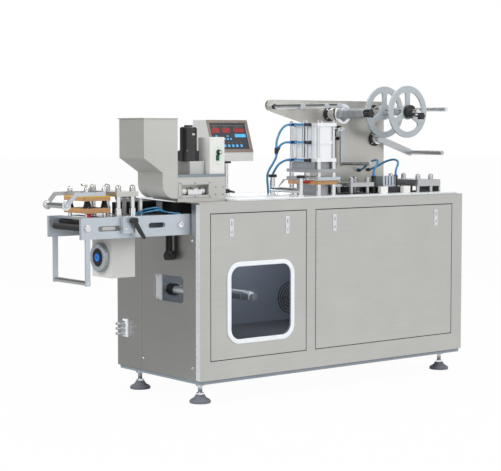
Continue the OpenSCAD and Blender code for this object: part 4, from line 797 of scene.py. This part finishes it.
for u0, u1, v0, v1 in DISPLAYS:
    on_face(displays, u0, v0, u1, v1, SUNK, DISPLAY_UP, 0.2)
piece("panel_displays", displays, DISPLAY, "control_panel")
buttons = bmesh.new()
on_face(buttons, 113, 55, 160, 67, SUNK, BUTTON_UP, 0.3)
for u in (33, 81):
    on_face(buttons, u - 4, 57, u + 4, 62, SUNK, BUTTON_UP, 0.3)
for u in (67, 80, 93):
    on_face(buttons, u - 3.5, 46, u + 3.5, 52, SUNK, BUTTON_UP, 0.3)
for u in BUTTON_ROW:
    on_face(buttons, u - 4.5, 20, u + 4.5, 29, SUNK, BUTTON_UP, 0.4)
piece("panel_buttons", buttons, LIT, "control_panel")
marks = bmesh.new()
on_face(marks, 16, 97.5, 160, 98.7, SUNK, MARK_UP, 0)
for u0, u1, v0, v1 in DISPLAYS:
    on_face(marks, u0 + 6, 92, u1 - 6, 93.2, SUNK, MARK_UP, 0)
for u in BUTTON_ROW:
    on_face(marks, u - 3, 36.5, u + 3, 38, SUNK, MARK_UP, 0)
piece("panel_marks", marks, MUTED, "control_panel")
softened("panel_post", BRIGHT, 0.6)
post_lever = bmesh.new()
rod(post_lever, (POST_X, POST_Y, 586), (POST_X, POST_Y, 600), 12, width=1)
rod(post_lever, (POST_X, POST_Y - 8, 594), (POST_X + 18, POST_Y - 26, 588), 4.5, 3.6, width=1)
piece("post_lever", post_lever, BLACK)

# Foil stand
# A ground steel plate with plated idle rollers, bearing bosses and two dancer arms.
REEL_GREY = finish("reel_plastic", "#adb4b9", 0, 0.4, (280, 280, 280), tone=0.03, bump=0.04, coat=0.1)
PLATE = finish("stand_plate", "#c2c0ba", 1, 0.4, (700, 9, 9), tone=0.05, spread=0.08, bump=0.012)
ARM = finish("satin_steel", "#bcbec0", 1, 0.34, (9, 9, 500), tone=0.04, spread=0.06, bump=0.012)
softened("back_plate", PLATE, 1.2)
softened("plate_fittings", BRIGHT, 0.6)
softened("left_dancer", ARM, 0.7)
softened("right_dancer", ARM, 0.7)
STAND_Y = 268
IDLERS = ((512, 885), (622, 887), (680, 889))
FOIL_X, FOIL_Z = 784, 862
BOSSES = ((1004, 870), (FOIL_X, FOIL_Z), (826, 794), (1008, 772))
BOSS_RING, BOSS_RING_R, BOSS_CIRCLE = 6, 27, 23.5
caps, rings, boss_screws = bmesh.new(), bmesh.new(), bmesh.new()
for x, z in IDLERS:
    rod(caps, (x, 92, z), (x, 100, z), 9, width=1.5)
    rod(rings, (x, STAND_Y - 26, z), (x, STAND_Y - 14, z), 9.5, width=0.8)
for x, z in BOSSES:
    rod(rings, (x, STAND_Y - BOSS_RING, z), (x, STAND_Y, z), BOSS_RING_R, width=1)
    for quarter in range(4):
        turn = math.radians(90 * quarter + 45)
        place = (x + BOSS_CIRCLE * math.cos(turn), STAND_Y - BOSS_RING, z + BOSS_CIRCLE * math.sin(turn))
        cap_screw(boss_screws, place, FRONT, 2.6, 2.5)
piece("idler_caps", caps, REEL_GREY)
piece("plate_rings", rings, BLACK)
piece("boss_screws", boss_screws, BRIGHT)

# Film reel and foil spindle
# Moulded reel flanges on a turned shaft with a black hub and a lock screw with a star grip.
# The foil spindle carries a black ring, a white stop disc, a six-sided cone, a grey sleeve and a star grip.
# Where grips end and where hub and stop disc lie along y; the disc starts outside a radius.
REEL_GRIP, HUB_FRONT, HUB_BACK = 30.5, 69.5, 86.5
FOIL_GRIP, DISC_FRONT, DISC_BACK, DISC_INNER_R = 67.5, 189.5, 198.5, 22.5
softened("reel_flanges", REEL_GREY, 1.2)
reel_shaft = softened("reel_shaft", BRIGHT, 0.6)
repaint(reel_shaft, BLACK, lambda x, y, z: y < REEL_GRIP or HUB_FRONT < y < HUB_BACK)
foil_spindle = softened("foil_spindle", BRIGHT, 0.7)
repaint(foil_spindle, BLACK, lambda x, y, z: y < FOIL_GRIP)
repaint(foil_spindle, WHITE, lambda x, y, z: DISC_FRONT < y < DISC_BACK
        and math.hypot(x - FOIL_X, z - FOIL_Z) > DISC_INNER_R)
spindle_ring = bmesh.new()
rod(spindle_ring, (FOIL_X, 199, FOIL_Z), (FOIL_X, 212, FOIL_Z), 30, width=1.5)
piece("spindle_ring", spindle_ring, BLACK, "foil_spindle")
CORE = finish("grey_sleeve", "#9fa4a8", 0.6, 0.42, (9, 300, 9), tone=0.05, bump=0.012)
foil_core = bmesh.new()
rod(foil_core, (FOIL_X, 177, FOIL_Z), (FOIL_X, 122, FOIL_Z), 18, width=0.8)
rod(foil_core, (FOIL_X, 122, FOIL_Z), (FOIL_X, 76, FOIL_Z), 16.8, width=0.8)
piece("foil_core", foil_core, CORE, "foil_spindle")
spindle_cone = bmesh.new()
rod(spindle_cone, (FOIL_X, 189.6, FOIL_Z), (FOIL_X, 176, FOIL_Z), 29, 22, sides=6, width=1)
piece("spindle_cone", spindle_cone, CORE, "foil_spindle")

# Sealing station
# Two compact air cylinders with square end plates and tie rods push a coated heater plate down four posts
# onto the lower plate, which rests on an insulating board.
CYLINDER = finish("bright_anodised", "#eceef1", 0.35, 0.25, (60, 60, 6), tone=0.03, spread=0.05, bump=0.003)
DARK = finish("heat_proof_coat", "#a1a4a8", 0.6, 0.45, (300, 300, 300), tone=0.08, bump=0.06, dust=0.1)
CYLINDER_TOP, PRESS_PLATE_TOP, LOWER_PLATE, SEAL_BOARD = 828, 642.1, 630, 616
# How far the lower plate, its board and the block under them reach along x.
PLATE_SPAN, BOARD_SPAN, BLOCK_SPAN = (554.1, 650), (557, 647), (578, 626)
softened("seal_cylinders", CYLINDER, 0.7)
softened("heater_block", DARK, 0.8)
seal_frame = softened("seal_frame", BRIGHT, 0.7)
repaint(seal_frame, ALUMINIUM, lambda x, y, z: LOWER_PLATE - 0.1 < z < PRESS_PLATE_TOP
        and PLATE_SPAN[0] < x < PLATE_SPAN[1])
repaint(seal_frame, BOARD, lambda x, y, z: SEAL_BOARD < z < LOWER_PLATE and BOARD_SPAN[0] < x < BOARD_SPAN[1])
repaint(seal_frame, DARK, lambda x, y, z: z < SEAL_BOARD and BLOCK_SPAN[0] < x < BLOCK_SPAN[1])
TIE_X, TIE_Y, TIE_R = (566, 638), (80, 142.7, 157.3, 220), 5
tie_nuts, tie_rods = bmesh.new(), bmesh.new()
for x in TIE_X:
    for y in TIE_Y:
        rod(tie_nuts, (x, y, CYLINDER_TOP), (x, y, CYLINDER_TOP + 5), 6, sides=6, width=0.6)
        rod(tie_nuts, (x, y, CYLINDER_TOP + 5), (x, y, CYLINDER_TOP + 8), 3.6, sides=16)
        rod(tie_rods, (x, y, 708), (x, y, 814), TIE_R, sides=20, width=0)
piece("tie_nuts", tie_nuts, BRIGHT)
piece("tie_rods", tie_rods, BRIGHT)
sleeves, leads = bmesh.new(), bmesh.new()
for step in range(3):
    y = 112 + 12 * step
    tip = (536, y + 4, 629 - 3 * step)
    rod(sleeves, (558, y, 623), tip, 3.4, 2.6, sides=16, width=0.6)
    points = [tip, (518, y + 14, 633), (506, 186 + 4 * step, 632), (512, 226, 606), (514, 234, 578)]
    for start, end in zip(points, points[1:]):
        rod(leads, start, end, 1.5, sides=10, width=0)
piece("heater_sleeves", sleeves, RED)
piece("heater_leads", leads, STAINLESS)

# Guide frame before the press
# Two polished pillars with wide black grips hold the roller that guides the web into the press.
GRIP_LOW = 639.8
guide_frame = softened("guide_frame", BRIGHT, 0.6)
repaint(guide_frame, BLACK, lambda x, y, z: z > GRIP_LOW)

# Work plate and the stations on it
# A bright aluminium table with a dark web channel and a low black guard behind it.
# Indent plate, film gripper and punch stand on it on posts, with acorn nuts and hose elbows.
WORK_TOP, GUARD_TOP = 578, 602
GUARDS = ((700, 882), (907, 988), (1029, 1091), (1112, 1176))
softened("work_plate", TABLE, 0.8)
channel = bmesh.new()
box(channel, (652, 92, WORK_TOP), (1178, 208, WORK_TOP + 0.8), 0)
for left, right in GUARDS:
    box(channel, (left, 233, WORK_TOP), (right, 237, GUARD_TOP), 0.5)
piece("web_channel", channel, RUBBER)
softened("indent_station", ARM, 0.7)
softened("punch_station", ARM, 0.8)
# Posts of the indent plate and of the punch: places along x and y, and the top of the plate.
STATION_POSTS = (((755, 833), (117, 183), 618), ((1049, 1115), (79, 221), 624))
station_nuts = bmesh.new()
for along, across, top in STATION_POSTS:
    for x in along:
        for y in across:
            acorn(station_nuts, x, y, top)
acorn(station_nuts, 702, LINE_Y, 612)
piece("station_nuts", station_nuts, BRIGHT)
STATION_HOSES = [HOSE_ROUTES["indent_hose"], HOSE_ROUTES["gripper_hose"]]
PORTS = [route[0][:2] for route in STATION_HOSES]
PORT_R = 7.2
GRIPPER_BASE, FRONT_BLOCK_Y, FRONT_BLOCK_TOP = 600.2, 100, 602.5
gripper = softened("film_gripper", ALUMINIUM, 0.6)
repaint(gripper, BLACK, lambda x, y, z: z < GRIPPER_BASE)
repaint(gripper, WHITE, lambda x, y, z: y < FRONT_BLOCK_Y and z < FRONT_BLOCK_TOP)
repaint(gripper, BLACK, lambda x, y, z: min(math.dist((x, y), port) for port in PORTS) < PORT_R)
elbows, elbow_collars = bmesh.new(), bmesh.new()
for route in STATION_HOSES:
    x, y, z = route[0]
    rod(elbows, (x, y, z - 10), (x, y, z), 8.4, sides=6, width=0.6)
    rod(elbow_collars, (x, y, z - 1), (x, y, z + 5), 5.2)
for route in STATION_HOSES:
    x, y, z = route[-1]
    rod(elbows, (x, STAND_Y, z), (x, STAND_Y - 8, z), 6.5, width=0.6)
piece("hose_elbows", elbows, BLACK)
piece("elbow_collars", elbow_collars, COLLAR)

# Floor and light
# A white floor with soft shadows and a pale room, under wide soft lamps. In reflections the room has
# dark screens at the back left and on the right and a dark ceiling, as a studio has for bright metal.
FLOOR_REACH, FLOOR_SHARE = 40, 0.97
FLOOR_GREY, WHITE_LIGHT = (0.6, 0.6, 0.6, 1), (1, 1, 1, 1)
ROOM_STRENGTH = 0.72
# Each dark part: its direction, where its shade starts and is full, and the light that is left there.
BACK_LEFT, RIGHT = (-0.62, 0.78, 0.0), (1.0, 0.0, 0.0)
FLOOR_DARK = (BACK_LEFT, 0.4, 0.85, 0.45)
ROOM_DARK = ((BACK_LEFT, 0.4, 0.85, 0.2), (RIGHT, 0.8, 0.95, 0.1), (UP, 0.35, 0.7, 0.15))


def dimmed(tree, direction, way, start, full, left):
    """Light that falls from 1 to what is left where a direction turns towards a way."""
    towards = tree.nodes.new("ShaderNodeVectorMath")
    towards.operation = "DOT_PRODUCT"
    towards.inputs[1].default_value = way
    tree.links.new(direction, towards.inputs[0])
    return span(tree, towards.outputs["Value"], 1, left, start, full, "SMOOTHSTEP")


def backdrop(tree, light):
    """Strength and share of the white backdrop: full for the camera, the given light for gloss and glass."""
    rays = tree.nodes.new("ShaderNodeLightPath")
    camera_ray, glossy_ray = rays.outputs["Is Camera Ray"], rays.outputs["Is Glossy Ray"]
    strength = arithmetic(tree, "MAXIMUM", light, camera_ray)
    mirrored = arithmetic(tree, "MAXIMUM", camera_ray, glossy_ray)
    return strength, arithmetic(tree, "MAXIMUM", mirrored, rays.outputs["Is Transmission Ray"])


floor_bm = bmesh.new()
bmesh.ops.create_grid(floor_bm, x_segments=1, y_segments=1, size=FLOOR_REACH)
floor_mesh = bpy.data.meshes.new("floor")
floor_bm.to_mesh(floor_mesh)
floor_bm.free()
floor = bpy.data.objects.new("floor", floor_mesh)
scene.collection.objects.link(floor)
floor_paint = bpy.data.materials.new("floor_paint")
floor_paint.use_nodes = True
ground = floor_paint.node_tree
floor_shader = ground.nodes["Principled BSDF"]
floor_shader.inputs["Base Color"].default_value = FLOOR_GREY
floor_shader.inputs["Roughness"].default_value = 0.8
floor_place = ground.nodes.new("ShaderNodeTexCoord")
floor_way = ground.nodes.new("ShaderNodeVectorMath")
floor_way.operation = "NORMALIZE"
ground.links.new(floor_place.outputs["Object"], floor_way.inputs[0])
floor_strength, floor_seen = backdrop(ground, dimmed(ground, floor_way.outputs[0], *FLOOR_DARK))
floor_glow = ground.nodes.new("ShaderNodeEmission")
ground.links.new(floor_strength, floor_glow.inputs["Strength"])
floor_mix = ground.nodes.new("ShaderNodeMixShader")
ground.links.new(arithmetic(ground, "MULTIPLY", floor_seen, FLOOR_SHARE), floor_mix.inputs["Fac"])
ground.links.new(floor_shader.outputs[0], floor_mix.inputs[1])
ground.links.new(floor_glow.outputs[0], floor_mix.inputs[2])
ground.links.new(floor_mix.outputs[0], ground.nodes["Material Output"].inputs["Surface"])
floor_mesh.materials.append(floor_paint)

world = bpy.data.worlds.new("room")
scene.world = world
world.use_nodes = True
sky = world.node_tree
room = sky.nodes["Background"]
room.inputs["Color"].default_value = WHITE_LIGHT
room.inputs["Strength"].default_value = ROOM_STRENGTH
sky_way = sky.nodes.new("ShaderNodeTexCoord")
room_light = 1
for part in ROOM_DARK:
    room_light = arithmetic(sky, "MULTIPLY", room_light, dimmed(sky, sky_way.outputs["Generated"], *part))
sky_strength, sky_seen = backdrop(sky, room_light)
white_room = sky.nodes.new("ShaderNodeBackground")
white_room.inputs["Color"].default_value = WHITE_LIGHT
sky.links.new(sky_strength, white_room.inputs["Strength"])
sky_mix = sky.nodes.new("ShaderNodeMixShader")
sky.links.new(sky_seen, sky_mix.inputs["Fac"])
sky.links.new(room.outputs[0], sky_mix.inputs[1])
sky.links.new(white_room.outputs[0], sky_mix.inputs[2])
sky.links.new(sky_mix.outputs[0], sky.nodes["World Output"].inputs["Surface"])


def lamp(name, place, aim, size, power):
    """A wide soft lamp that looks at a point."""
    data = bpy.data.lights.new(name, "AREA")
    data.size = size
    data.energy = power
    made = bpy.data.objects.new(name, data)
    made.location = place
    made.rotation_euler = (Vector(aim) - Vector(place)).to_track_quat("-Z", "Y").to_euler()
    scene.collection.objects.link(made)


lamp("key_lamp", (1.0, -3.0, 3.0), (0.2, 0, 0.5), size=2.0, power=56)
lamp("top_lamp", (0.6, 0.6, 3.4), (0, 0, 0.7), size=2.4, power=42)
lamp("left_lamp", (-3.2, -0.4, 2.4), (-0.3, -0.1, 0.8), size=1.6, power=62)
lamp("inside_lamp", at(480, 200, 560), at(480, 300, 100), size=0.25, power=3)
